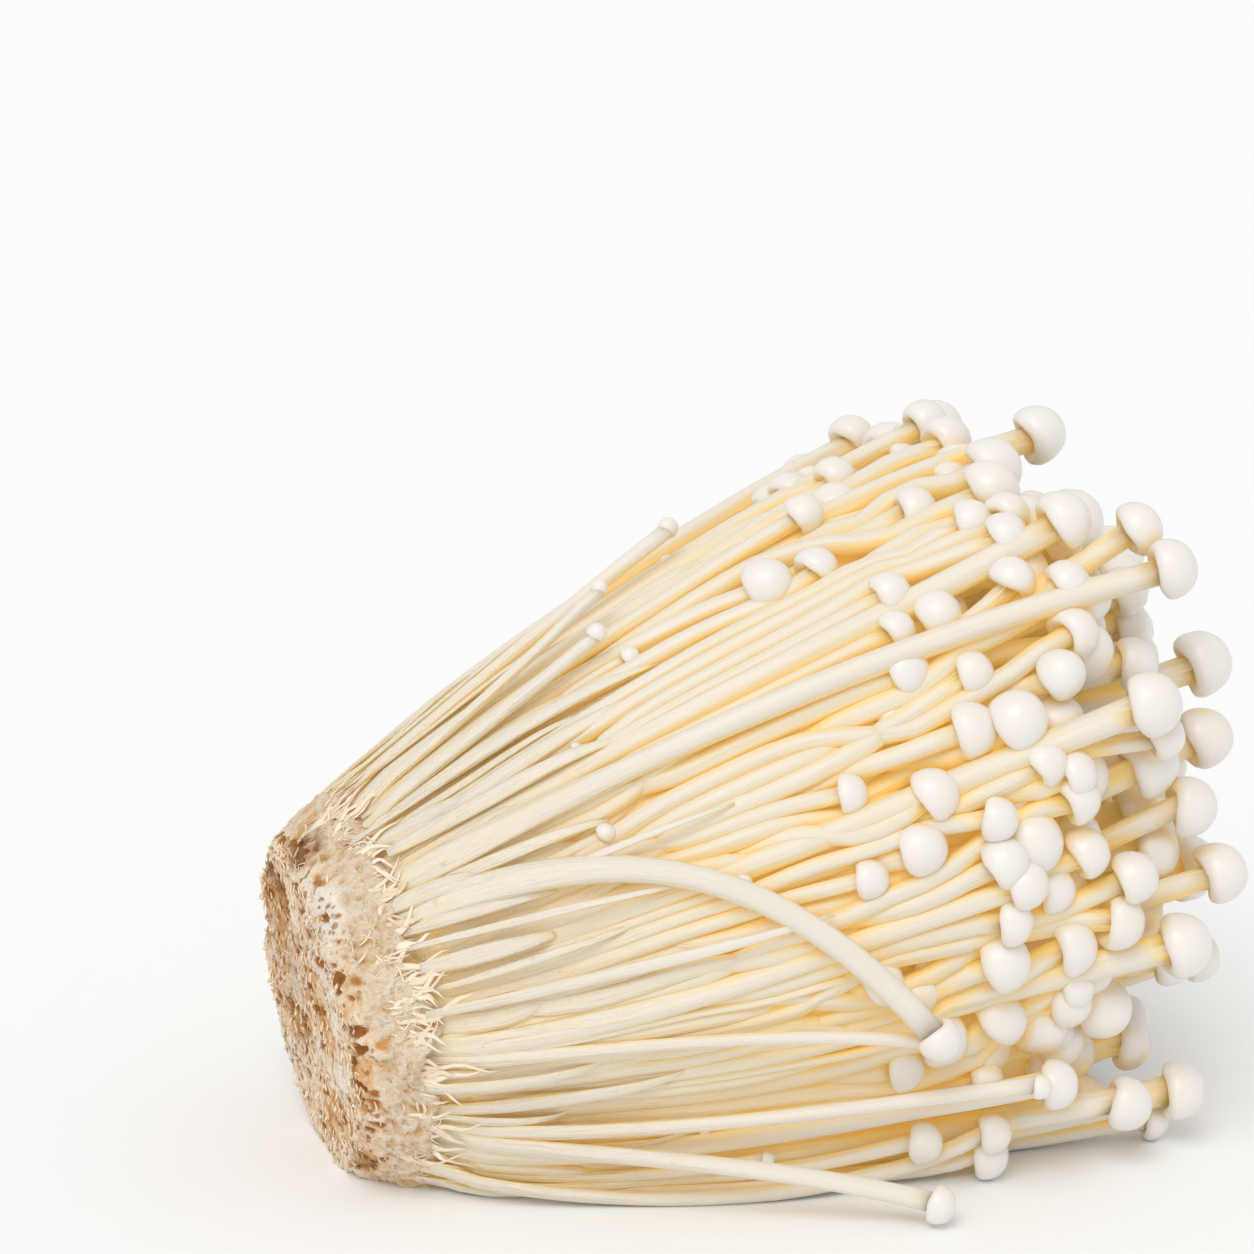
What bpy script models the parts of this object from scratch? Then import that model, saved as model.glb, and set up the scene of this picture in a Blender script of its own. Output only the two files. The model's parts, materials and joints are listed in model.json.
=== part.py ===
"""Enoki mushroom bunch lying on its side: a root block of white mycelium and brown growing
medium, and the spreading bundle of stems and round caps that grew out of it.

Metres, +Z up. +X runs from the sawn foot of the root block towards the caps, the bunch lies on
z = 0, and the origin is under the middle of its bounding box.
"""

import math

import bmesh
import bpy
import numpy as np
from mathutils import Vector, noise

MM = 0.001

# The bunch as a whole. "Along" is measured up the bunch's own axis, from the cut face.
CUT_RADIUS = 22.5 * MM
FLARE_RADIUS = 54.0 * MM
FLARE_REACH = 95.0 * MM
FLARE_BEND = 0.9
AXIS_TILT = math.radians(7)
FAN_LIFT = 15.0 * MM
LONGEST = 127.0 * MM
FLOOR_BITE = 0.8 * MM
TABLE_SLAB = 200.0 * MM

# The root block and the shreds of mycelium on it: (along, share of the flare).
BLOCK_DEPTH = 9.0 * MM
NODE_GAP = 0.3 * MM
BLOCK_PROFILE = (
    (0.0, 0),
    (0.0, 0.25),
    (0.0, 0.50),
    (0.0, 0.74),
    (0.2 * MM, 0.93),
    (1.2 * MM, 1.0),
    (3.4 * MM, 1.02),
    (5.6 * MM, 1.03),
    (7.8 * MM, 1.02),
    (BLOCK_DEPTH, 0.97),
    (BLOCK_DEPTH, 0),
)
BLOCK_SIDES = 56
BLOCK_RELIEF = 0.7 * MM
BLOCK_LUMP = 6.0 * MM
COLLAR_SHREDS = 44
FOOT_SHREDS = 24
SHRED_RADIUS = 0.85 * MM
PITS = 22
PIT_HALF_SIZES = ((1.2, 2.2), (1.0, 1.8), (2.0, 4.0))

# The mushrooms.
COUNT = 77
SEED = 7
CROWDING = 0.40
STEM_ROOT = BLOCK_DEPTH + 1.4 * MM
ROOT_STAGGER = 0.15 * MM
INNER_SHARE = 0.74
SUNK = 2.5 * MM
CAP_RADII = (3.3 * MM, 4.9 * MM)
STEM_RADII = (0.8 * MM, 1.9 * MM)
STEM_WAVE = 1.3 * MM
SMALL_CAP = 2.5 * MM
OUTER_SPANS = 3
PLANE_STEP = 5.0 * MM
PLANES = 29
CLEARANCE = 0.25 * MM
SETTLING_ROUNDS = 80

# Stems that stray from the bundle, each (turn round the axis in degrees, how far along it ends,
# how far it stands off, how far it sags, cap radius, stem radius), lengths in millimetres.
STRAGGLERS = (
    (140, 70, 17, 51, 3.0, 1.7),
    (206, 84, 3, 5, 1.7, 1.0),
    (182, 72, 1, 10, 1.5, 0.9),
    (222, 50, 4, -4, 1.2, 0.8),
    (232, 55, 3, 0, 1.2, 0.8),
    (240, 56, 3, 2, 1.2, 0.8),
    (250, 92, 12, 10, 2.4, 1.3),
    (238, 84, 9, 9, 1.9, 1.1),
    (105, 44, 3, -2, 1.4, 0.9),
    (98, 47, 3, -2, 1.2, 0.8),
    (84, 62, 3, -1, 1.5, 1.0),
    (208, 67, 11, 6, 2.6, 1.2),
    (214, 88, 0, 2, 3.5, 1.6),
    (220, 99, 0, 2, 3.8, 1.7),
    (226, 109, 0, 2, 4.1, 1.8),
    (20, 84, 3, 6, 2.6, 1.3),
    (318, 72, 3, 5, 1.8, 1.0),
    (352, 60, 3, 8, 1.5, 0.9),
    (38, 100, 3, -1, 3.6, 1.6),
    (57, 102, 3, 3, 3.8, 1.6),
    (96, 114, 0, 9, 4.3, 1.8),
    (130, 114, 0, 5, 4.2, 1.8),
)

# The fluted core that fills the middle of the bundle: (along, share of the flare).
CORE_SIDES = 44
CORE_FLUTE = 0.9 * MM
CORE_CLEARANCE = 0.4 * MM
CORE_PROFILE = (
    (BLOCK_DEPTH + NODE_GAP, 0),
    (BLOCK_DEPTH + NODE_GAP, 0.97),
    (12.5 * MM, 0.97),
    (18 * MM, 0.80),
    (34 * MM, 0.70),
    (50 * MM, 0.66),
    (63 * MM, 0.56),
    (72 * MM, 0.36),
    (76 * MM, 0),
)

# A cap from its underside to its crown: (height, radius), both in cap radii.
CAP_HEIGHT = 1.35
OUTER_CAP = ((0.0, 0.80), (0.45, 1.0), (1.0, 0.80), (CAP_HEIGHT, 0.30))
INNER_CAP = ((0.0, 0.84), (0.50, 1.0), (CAP_HEIGHT, 0.50))

GOLDEN_TURN = math.pi * (3 - math.sqrt(5))
AXIS = np.array([math.cos(AXIS_TILT), 0.0, math.sin(AXIS_TILT)])
SIDE = np.array([0.0, 1.0, 0.0])
UP = np.array([-math.sin(AXIS_TILT), 0.0, math.cos(AXIS_TILT)])
CUT_CENTRE = np.array([0.0, 0.0, CUT_RADIUS * math.cos(AXIS_TILT) - FLOOR_BITE])


# --- The shape of the bundle ---------------------------------------------------------------


def flare(along):
    """The bundle's radius: quick to spread at the root block, then nearly straight."""
    t = np.clip(np.asarray(along) / FLARE_REACH, 0, None)
    spread = (1 + FLARE_BEND) * t / (1 + FLARE_BEND * t)
    return CUT_RADIUS + (FLARE_RADIUS - CUT_RADIUS) * spread


def fan_lift(at):
    """How far the bundle's middle bends up off its straight axis."""
    return FAN_LIFT * (at / LONGEST) ** 1.5


def in_space(along, side, up):
    """World points from places along and across the bunch's own axis."""
    along, side, up = (np.asarray(v, float)[..., None] for v in (along, side, up))
    return CUT_CENTRE + along * AXIS + side * SIDE + up * UP


def plan_mushrooms(rng):
    """Turn round the axis, share of the radius, reach, cap and stem radius of each mushroom.

    They stand on a sunflower spiral that is closer set at the rim. Some outer ones stay short,
    with small caps, and the stragglers come last.
    """
    order = np.arange(COUNT)
    share = ((order + 0.5) / COUNT) ** CROWDING * 0.97
    turn = order * GOLDEN_TURN + rng.normal(0, 0.05, COUNT)
    reach = LONGEST * (1 - 0.19 * share**2) * rng.uniform(0.93, 1.04, COUNT)
    cap = rng.uniform(*CAP_RADII, COUNT)
    stunting = rng.uniform(0.60, 0.93, COUNT)
    short = (share > 0.6) & (rng.random(COUNT) < 0.42)
    reach = np.where(short, reach * stunting, reach)
    cap = np.where(short, cap * np.interp(stunting, [0.6, 0.93], [0.5, 0.9]), cap)
    stem = np.clip(cap * rng.uniform(0.36, 0.44, COUNT), *STEM_RADII)
    stray = np.array(STRAGGLERS, float)
    turn = np.concatenate([turn, np.radians(stray[:, 0])])
    share = np.concatenate([share, np.full(len(stray), 0.97)])
    reach = np.concatenate([reach, stray[:, 1] * MM])
    cap = np.concatenate([cap, stray[:, 4] * MM])
    stem = np.concatenate([stem, stray[:, 5] * MM])
    return turn, share, reach, cap, stem


def first_routes(along, turn, share, rng):
    """Where each stem crosses each plane before the stems push each other apart."""
    count = len(turn)
    t = along / LONGEST
    drift = rng.normal(0, math.radians(7), count)
    radius = share[:, None] * flare(along)
    angle = turn[:, None] + drift[:, None] * t
    across = np.stack([radius * np.cos(angle), radius * np.sin(angle)], axis=-1)
    across[..., 1] += fan_lift(along)
    size = rng.normal(0, STEM_WAVE, (count, 1, 2))
    phase = rng.uniform(0, 2 * math.pi, (count, 1, 2))
    t = t[:, None]
    across += size * t * (np.sin(4.5 * t + phase) + 0.5 * np.sin(10 * t - 2 * phase))
    stray = np.array(STRAGGLERS, float)
    off, sag = stray[:, 2, None] * MM, stray[:, 3, None] * MM
    own = np.clip(along / (stray[:, 1, None] * MM), 0, 1.3)
    outward = np.stack([np.cos(turn[COUNT:]), np.sin(turn[COUNT:])], axis=-1)
    across[COUNT:] += (off * own**2)[..., None] * outward[:, None]
    across[COUNT:, :, 1] -= sag * own**3
    return across


def girths(along, reach, cap, stem):
    """Each mushroom's radius in each plane: its stem, its cap near the end, and none beyond."""
    t = np.clip(1.25 * along / reach[:, None], 0, 1)
    body = stem[:, None] * (0.62 + 0.38 * t * t * (3 - 2 * t))
    past = along - reach[:, None]
    height = CAP_HEIGHT * cap[:, None]
    middle = (past - 0.5 * height) / (0.62 * height)
    dome = cap[:, None] * np.sqrt(np.clip(1 - middle**2, 0, 1))
    return np.where(past < 0, np.maximum(body, dome), dome)


def settle(along, start, girth):
    """Pushes the stems and caps apart in every plane, and up off the table.

    Each round moves overlapping discs away from each other, evens that out along each stem,
    draws the stem back a little towards where it grew, and lifts what is below the table.
    """
    here = start.copy()
    table = (-CUT_CENTRE[2] - along * AXIS[2] + girth) / UP[2]
    for _ in range(SETTLING_ROUNDS):
        for plane in range(1, len(along)):
            live = np.nonzero(girth[:, plane] > 0)[0]
            apart = here[live, None, plane] - here[None, live, plane]
            distance = np.linalg.norm(apart, axis=-1) + 1e-9
            radius = girth[live, plane]
            overlap = radius[:, None] + radius + CLEARANCE - distance
            np.fill_diagonal(overlap, 0)
            push = apart / distance[..., None] * np.clip(overlap, 0, None)[..., None]
            here[live, plane] += 0.4 * push.sum(axis=1)
        moved = here - start
        even = moved.copy()
        even[:, 1:-1] = (moved[:, :-2] + moved[:, 2:]) / 2
        even[:, -1] = 2 * moved[:, -2] - moved[:, -3]
        here += 0.35 * (even - moved) - 0.02 * moved
        here[:, 0] = start[:, 0]
        here[..., 1] = np.maximum(here[..., 1], np.where(girth > 0, table, -1))
    return here


def grow_mushrooms():
    """Every mushroom's centre line as a function's points, with its reach and radii."""
    rng = np.random.default_rng(SEED)
    turn, share, reach, cap, stem = plan_mushrooms(rng)
    along = STEM_ROOT + np.arange(PLANES) * PLANE_STEP
    start = first_routes(along, turn, share, rng)
    across = settle(along, start, girths(along, reach, cap, stem))
    return along, across, share, reach, cap, stem


def stem_radius(at, reach, stem):
    """Thin at the root, full from four fifths of the way up."""
    t = min(1.0, 1.25 * at / reach)
    return stem * (0.62 + 0.38 * t * t * (3 - 2 * t))


def core_radius(at):
    """The core's radius at a place along the axis, and none past its end."""
    places, shares = zip(*CORE_PROFILE)
    return float(np.interp(at, places, shares, right=-1.0) * flare(at))


# --- Blender helpers -----------------------------------------------------------------------


def clear_scene():
    for obj in list(bpy.data.objects):
        bpy.data.objects.remove(obj)


def new_collection(name):
    collection = bpy.data.collections.new(name)
    bpy.context.scene.collection.children.link(collection)
    return collection


def new_object(name, mesh, collection):
    obj = bpy.data.objects.new(name, mesh)
    collection.objects.link(obj)
    return obj


def take_in(obj, collection):
    """Moves an object that an operator has just added into a collection."""
    for home in list(obj.users_collection):
        home.objects.unlink(obj)
    collection.objects.link(obj)


def new_material(name, colour, roughness):
    material = bpy.data.materials.new(name)
    material.use_nodes = True
    shader = material.node_tree.nodes["Principled BSDF"]
    shader.inputs["Base Color"].default_value = (*colour, 1)
    shader.inputs["Roughness"].default_value = roughness
    shader.inputs["Metallic"].default_value = 0.0
    return material


def turned_body(name, profile, sides, surface, collection):
    """A UV sphere whose rings, poles included, are moved to surface(along, share, turn)."""
    body = bmesh.new()
    bands = len(profile) - 1
    bmesh.ops.create_uvsphere(body, u_segments=sides, v_segments=bands, radius=1)
    for vert in body.verts:
        latitude = math.acos(max(-1.0, min(1.0, -vert.co.z)))
        at, share = profile[round(latitude / math.pi * bands)]
        vert.co = surface(at, share, math.atan2(vert.co.y, vert.co.x))
    bmesh.ops.recalc_face_normals(body, faces=body.faces)
    mesh = bpy.data.meshes.new(name)
    body.to_mesh(mesh)
    body.free()
    return new_object(name, mesh, collection)


def tapered_rod(name, points, radii, resolution, collection):
    """A closed mesh swept along points, from a curve that is as thick as radii at each."""
    curve = bpy.data.curves.new(name, "CURVE")
    curve.dimensions = "3D"
    curve.bevel_depth = MM
    curve.bevel_resolution = resolution
    curve.use_fill_caps = True
    spline = curve.splines.new("POLY")
    spline.points.add(len(points) - 1)
    for spot, place, radius in zip(spline.points, points, radii):
        spot.co = (*place, 1)
        spot.radius = radius / MM
    source = new_object(name + "_curve", curve, collection)
    bpy.context.view_layer.update()
    ready = source.evaluated_get(bpy.context.evaluated_depsgraph_get())
    mesh = bpy.data.meshes.new_from_object(ready)
    bpy.data.objects.remove(source)
    body = bmesh.new()
    body.from_mesh(mesh)
    bmesh.ops.remove_doubles(body, verts=body.verts, dist=0.001 * MM)
    body.to_mesh(mesh)
    body.free()
    return new_object(name, mesh, collection)


def boolean(obj, operation, others):
    """Joins a collection to obj, or cuts it away, applies that, and removes the collection."""
    modifier = obj.modifiers.new(operation.title(), "BOOLEAN")
    modifier.operation = operation
    modifier.operand_type = "COLLECTION"
    modifier.collection = others
    modifier.solver = "MANIFOLD"
    bpy.context.view_layer.update()
    ready = obj.evaluated_get(bpy.context.evaluated_depsgraph_get())
    joined = bpy.data.meshes.new_from_object(ready)
    obj.modifiers.clear()
    obj.data = joined
    for other in list(others.objects):
        bpy.data.objects.remove(other)
    bpy.data.collections.remove(others)


def finish(obj, material):
    """Smooth shading with creases, and the one material."""
    obj.data.materials.clear()
    obj.data.materials.append(material)
    obj.data.shade_smooth()
    obj.data.set_sharp_from_angle(angle=math.radians(55))


# --- The mushrooms -------------------------------------------------------------------------


def core_surface(at, share, turn):
    """The core's profile turned round the axis, fluted like packed stems, flat at the table."""
    radius = share * flare(at)
    if at > STEM_ROOT and share > 0:
        radius += CORE_FLUTE * math.cos(turn * CORE_SIDES / 2)
    place = in_space(at, radius * math.cos(turn), radius * math.sin(turn) + fan_lift(at))
    place[2] = max(place[2], CORE_CLEARANCE)
    return place


def root_of(number, along, route, share):
    """Where a mushroom starts: at the foot, or well inside the core if it grows from there."""
    foot = STEM_ROOT + ROOT_STAGGER * (number % 7)
    if share < INNER_SHARE:
        for at in np.arange(66 * MM, foot, -2 * MM):
            side = np.interp(at, along, route[:, 0])
            up = np.interp(at, along, route[:, 1]) - fan_lift(at)
            if math.hypot(side, up) < core_radius(at) - SUNK:
                return at
    return foot


def mushroom(number, along, route, root, reach, cap, stem, collection):
    """One stem and cap, swept in one piece along the stem's route."""
    small = cap < SMALL_CAP
    outer = root < 2 * BLOCK_DEPTH
    spans = OUTER_SPANS if outer else 1
    stations = np.linspace(root, reach, spans + 1)
    side, up = (np.interp(stations, along, route[:, axis]) for axis in (0, 1))
    points = list(in_space(stations, side, up))
    near = np.array([reach - 5 * MM, reach])
    ends = in_space(near, *(np.interp(near, along, route[:, axis]) for axis in (0, 1)))
    growing = (ends[1] - ends[0]) / np.linalg.norm(ends[1] - ends[0])
    radii = [stem_radius(at, reach, stem) for at in stations]
    for height, radius in OUTER_CAP if outer and not small else INNER_CAP:
        points.append(points[spans] + growing * (height * cap + 0.02 * MM))
        radii.append(radius * cap)
    below = min(p[2] - r * math.sqrt(1 - growing[2] ** 2) for p, r in zip(points, radii))
    for step in range(1, len(points)):
        points[step] = points[step] + (0, 0, max(0.0, -below) * min(1.0, step / spans))
    tapered_rod(f"mushroom_{number}", points, radii, 1 if small else 2, collection)


def make_mushrooms(collection, material):
    core = turned_body("mushrooms", CORE_PROFILE, CORE_SIDES, core_surface, collection)
    repeats = new_collection("mushroom repeats")
    along, across, share, reach, cap, stem = grow_mushrooms()
    for number in range(len(reach)):
        root = root_of(number, along, across[number], share[number])
        mushroom(
            number, along, across[number], root, reach[number], cap[number], stem[number], repeats
        )
    boolean(core, "UNION", repeats)
    finish(core, material)
    return core


# --- The root block ------------------------------------------------------------------------


def block_surface(at, share, turn):
    """The block's profile turned round the axis: a rough cut face and a lumpy side."""
    radius = share * flare(at)
    place = Vector((at, radius * math.cos(turn), radius * math.sin(turn)))
    rough = BLOCK_RELIEF * noise.fractal(place / BLOCK_LUMP, 1.0, 2.0, 3)
    if at < 1 * MM:
        at += rough
    elif at < BLOCK_DEPTH:
        radius += rough + 0.4 * BLOCK_RELIEF * math.cos(9 * turn)
    return in_space(at, radius * math.cos(turn), radius * math.sin(turn))


def pit(name, rng, collection):
    """A cutter for one pit in the cut face: a stretched ball, half sunk and turned at random."""
    turn = rng.uniform(0, 2 * math.pi)
    radius = CUT_RADIUS * 0.84 * math.sqrt(rng.uniform(0, 1))
    centre = in_space(-0.1 * MM, radius * math.cos(turn), radius * math.sin(turn))
    bpy.ops.mesh.primitive_uv_sphere_add(segments=8, ring_count=5, radius=1, location=centre)
    cutter = bpy.context.object
    cutter.name = name
    cutter.scale = [rng.uniform(low, high) * MM for low, high in PIT_HALF_SIZES]
    cutter.rotation_euler = (rng.uniform(0, math.pi), -AXIS_TILT, 0)
    take_in(cutter, collection)


def shred(name, turn, start, rise, length, curl, collection):
    """One shred of mycelium: a bent, pointed rod that leaves the block's side outwards."""
    stations = start + length * np.array([0.0, 0.45, 1.0])
    radius = flare(np.clip(stations, 0, None)) + np.array([-1.6 * MM, rise * 0.6, rise])
    turns = turn + curl * np.array([0.0, 0.3, 1.0])
    points = in_space(stations, radius * np.cos(turns), radius * np.sin(turns))
    tapered_rod(name, points, SHRED_RADIUS * np.array([1.3, 0.8, 0.2]), 0, collection)


def make_root_block(collection, material):
    block = turned_body("root_block", BLOCK_PROFILE, BLOCK_SIDES, block_surface, collection)
    shreds = new_collection("shreds")
    rng = np.random.default_rng(SEED + 1)
    for number in range(COLLAR_SHREDS):
        turn = (number + rng.uniform(-0.3, 0.3)) * 2 * math.pi / COLLAR_SHREDS
        start, rise = rng.uniform(3.5, 6.0) * MM, rng.uniform(2.8, 4.4) * MM
        length, curl = rng.uniform(6, 11) * MM, rng.normal(0, 0.1)
        shred(f"collar_{number}", turn, start, rise, length, curl, shreds)
    for number in range(FOOT_SHREDS):
        turn = (number + rng.uniform(-0.4, 0.4)) * 2 * math.pi / FOOT_SHREDS
        start, rise = rng.uniform(1.5, 3.0) * MM, rng.uniform(1.2, 2.4) * MM
        length, curl = -rng.uniform(1.5, 3.0) * MM, rng.normal(0, 0.12)
        shred(f"foot_{number}", turn, start, rise, length, curl, shreds)
    boolean(block, "UNION", shreds)
    cutters = new_collection("pits and table")
    for number in range(PITS):
        pit(f"pit_{number}", rng, cutters)
    bpy.ops.mesh.primitive_cube_add(size=TABLE_SLAB, location=(0, 0, -TABLE_SLAB / 2))
    take_in(bpy.context.object, cutters)
    boolean(block, "DIFFERENCE", cutters)
    finish(block, material)
    return block


def put_origin_under_middle(objects):
    """Moves the whole bunch so that the origin is under the middle of its bounding box."""
    points = np.array([v.co for obj in objects for v in obj.data.vertices])
    middle = (points.min(axis=0) + points.max(axis=0)) / 2
    for obj in objects:
        obj.location = (-middle[0], -middle[1], 0)


def main():
    clear_scene()
    bunch = new_collection("enoki_mushroom_bunch")
    flesh = new_material("mushroom_flesh", (0.93, 0.88, 0.74), 0.42)
    mycelium = new_material("mycelium", (0.82, 0.70, 0.55), 0.85)
    objects = [make_root_block(bunch, mycelium), make_mushrooms(bunch, flesh)]
    put_origin_under_middle(objects)


main()
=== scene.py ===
"""Looks of the enoki bunch: fine mushrooms in place of the faceted ones, with the fill between
them, and the shaggy, pitted root block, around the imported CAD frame.

Lengths are metres. "Along" is measured up the bunch's own axis from the cut face, "side" is
across it, and "up" is square to both, as in the CAD part.
"""

import json
import math

import bpy
import numpy as np
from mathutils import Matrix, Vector


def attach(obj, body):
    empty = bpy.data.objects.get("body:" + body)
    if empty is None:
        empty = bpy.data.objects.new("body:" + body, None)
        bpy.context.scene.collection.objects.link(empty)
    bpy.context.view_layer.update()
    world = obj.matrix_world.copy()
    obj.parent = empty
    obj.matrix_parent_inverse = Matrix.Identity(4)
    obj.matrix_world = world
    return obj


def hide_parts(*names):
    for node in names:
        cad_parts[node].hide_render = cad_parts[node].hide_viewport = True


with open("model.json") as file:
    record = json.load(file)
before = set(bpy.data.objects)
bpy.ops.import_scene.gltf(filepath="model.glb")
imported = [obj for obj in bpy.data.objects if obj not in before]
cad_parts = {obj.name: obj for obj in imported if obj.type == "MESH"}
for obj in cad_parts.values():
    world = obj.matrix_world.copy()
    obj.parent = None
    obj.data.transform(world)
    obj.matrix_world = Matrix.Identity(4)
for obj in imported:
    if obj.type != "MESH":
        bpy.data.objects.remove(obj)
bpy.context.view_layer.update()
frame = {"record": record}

MM = 0.001
FULL_TURN = 2 * math.pi

# --- The bunch's growing rule, with the CAD part's own values ---

CUT_RADIUS = 22.5 * MM
FLARE_RADIUS = 54.0 * MM
FLARE_REACH = 95.0 * MM
FLARE_BEND = 0.9
AXIS_TILT = math.radians(7)
FAN_LIFT = 15.0 * MM
LONGEST = 127.0 * MM
FLOOR_BITE = 0.8 * MM
BLOCK_DEPTH = 9.0 * MM
STEM_ROOT = BLOCK_DEPTH + 1.4 * MM
COUNT = 77
SEED = 7
CROWDING = 0.40
EDGE_SHARE = 0.97
REACH_DROP = 0.19
REACHES = (0.93, 1.04)
STUNTED_FROM, STUNTED_CHANCE = 0.6, 0.42
STUNTED_REACHES, STUNTED_CAPS = (0.60, 0.93), (0.5, 0.9)
CAP_RADII = (3.3 * MM, 4.9 * MM)
STEM_TO_CAP = (0.36, 0.44)
STEM_RADII = (0.8 * MM, 1.9 * MM)
ROOT_THIN, FULL_FROM = 0.62, 0.8
DRIFT = math.radians(7)
STEM_WAVE = 1.3 * MM
CAP_HEIGHT = 1.35
CROWN = 1.46
PLANE_STEP = 5.0 * MM
PLANES = 29
CLEARANCE = 0.25 * MM
SETTLING_ROUNDS = 80
REST_SPOT = 6.5 * MM
GOLDEN_TURN = math.pi * (3 - math.sqrt(5))

# Stems that stray from the bundle: turn in degrees, reach, stand-off, sag, cap and stem radius.
STRAGGLERS = (
    (140, 70, 17, 51, 3.0, 1.7),
    (206, 84, 3, 5, 1.7, 1.0),
    (182, 72, 1, 10, 1.5, 0.9),
    (222, 50, 4, -4, 1.2, 0.8),
    (232, 55, 3, 0, 1.2, 0.8),
    (240, 56, 3, 2, 1.2, 0.8),
    (250, 92, 12, 10, 2.4, 1.3),
    (238, 84, 9, 9, 1.9, 1.1),
    (105, 44, 3, -2, 1.4, 0.9),
    (98, 47, 3, -2, 1.2, 0.8),
    (84, 62, 3, -1, 1.5, 1.0),
    (208, 67, 11, 6, 2.6, 1.2),
    (214, 88, 0, 2, 3.5, 1.6),
    (220, 99, 0, 2, 3.8, 1.7),
    (226, 109, 0, 2, 4.1, 1.8),
    (20, 84, 3, 6, 2.6, 1.3),
    (318, 72, 3, 5, 1.8, 1.0),
    (352, 60, 3, 8, 1.5, 0.9),
    (38, 100, 3, -1, 3.6, 1.6),
    (57, 102, 3, 3, 3.8, 1.6),
    (96, 114, 0, 9, 4.3, 1.8),
    (130, 114, 0, 5, 4.2, 1.8),
)

# --- What this script adds to it ---

FILL_SEED = 26
FILL_ROUNDS = 45
FILL_LIVELY = 1.8
FILL_CAP_ROOM = 1.0
# Four kinds between the mains, with their share of the flare, reach as a share of the longest,
# and cap radius in mm: tall ones inside, a ring round the rim, pinheads, some low in front.
INNER_FILL, RIM_FILL, PINHEADS, LOW_FRONT = 185, 160, 22, 9
INNER_SHARES, RIM_SHARES, PIN_SHARE, LOW_SHARES = (0.03, 0.90), (0.84, 1.0), 0.99, (0.96, 1.05)
INNER_REACHES, RIM_REACHES = (0.84, 0.99), (0.92, 1.0)
PIN_REACHES, LOW_REACHES = (0.22, 0.58), (0.48, 0.84)
INNER_CAPS, RIM_CAPS, PIN_CAPS, LOW_CAPS = (3.0, 4.6), (3.3, 4.8), (0.85, 1.5), (2.6, 4.0)
FILL_DROP = 0.18
INNER_CUTS, INNER_CUT_FROM, INNER_CUT_CHANCE = (0.80, 0.95), 0.55, 0.4
RIM_MOST_CUT = 0.38
FRONT_CLOSER = 0.3
LOW_TURNS = (217, 238)
FILL_STEM_TO_CAP, FILL_STEMS = (0.34, 0.44), (0.62 * MM, 1.7 * MM)

ROOT_START = 3.0 * MM
RIM_SHARE = 0.66
RIM_ROWS, RIM_SIDES = 24, 18
MIDDLE_ROWS, MIDDLE_SIDES = 15, 14

AXIS = np.array([math.cos(AXIS_TILT), 0.0, math.sin(AXIS_TILT)])
SIDE = np.array([0.0, 1.0, 0.0])
UP = np.array([-math.sin(AXIS_TILT), 0.0, math.cos(AXIS_TILT)])
CUT_HEIGHT = CUT_RADIUS * math.cos(AXIS_TILT) - FLOOR_BITE
REST_FACE = np.array(frame["record"]["mounts"][0]["pos_m"])
CUT_CENTRE = REST_FACE + np.array([-REST_SPOT, 0.0, CUT_HEIGHT])


# --- Growing the bunch ---


def flare(along):
    """The bundle's radius: a spread s = (1 + b) t / (1 + b t) of t = along / reach."""
    t = np.clip(np.asarray(along) / FLARE_REACH, 0, None)
    spread = (1 + FLARE_BEND) * t / (1 + FLARE_BEND * t)
    return CUT_RADIUS + (FLARE_RADIUS - CUT_RADIUS) * spread


def fan_lift(along):
    """The middle's rise off the straight axis: the lift times (along / longest) to the 1.5."""
    return FAN_LIFT * (np.clip(along, 0, None) / LONGEST) ** 1.5


def in_space(along, side, up):
    """World points: the cut's centre, plus along, side and up times the three directions."""
    along, side, up = (np.asarray(v, float)[..., None] for v in (along, side, up))
    return CUT_CENTRE + along * AXIS + side * SIDE + up * UP


def turns(count):
    """Turns evenly spaced, once round."""
    return np.arange(count) * FULL_TURN / count


def outwards(turn):
    """Directions square to the bunch's axis, at the turns."""
    return np.cos(turn)[..., None] * SIDE + np.sin(turn)[..., None] * UP


def round_axis(along, radius, turn, lift=0.0):
    """World points at a radius and a turn round the axis, then lifted."""
    return in_space(along, radius * np.cos(turn), radius * np.sin(turn) + lift)


def fade(low, high, values):
    """0 below low, 1 above high, and smooth between."""
    t = np.clip((values - low) / (high - low), 0, 1)
    return t * t * (3 - 2 * t)


def between(limits, t):
    """The place t of the way from the first limit to the second."""
    return limits[0] + (limits[1] - limits[0]) * t


def stem_growth(t):
    """A stem's radius at t of its reach: 0.62 of the full one at the root, full from 0.8."""
    return ROOT_THIN + (1 - ROOT_THIN) * fade(0, FULL_FROM, t)


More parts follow.
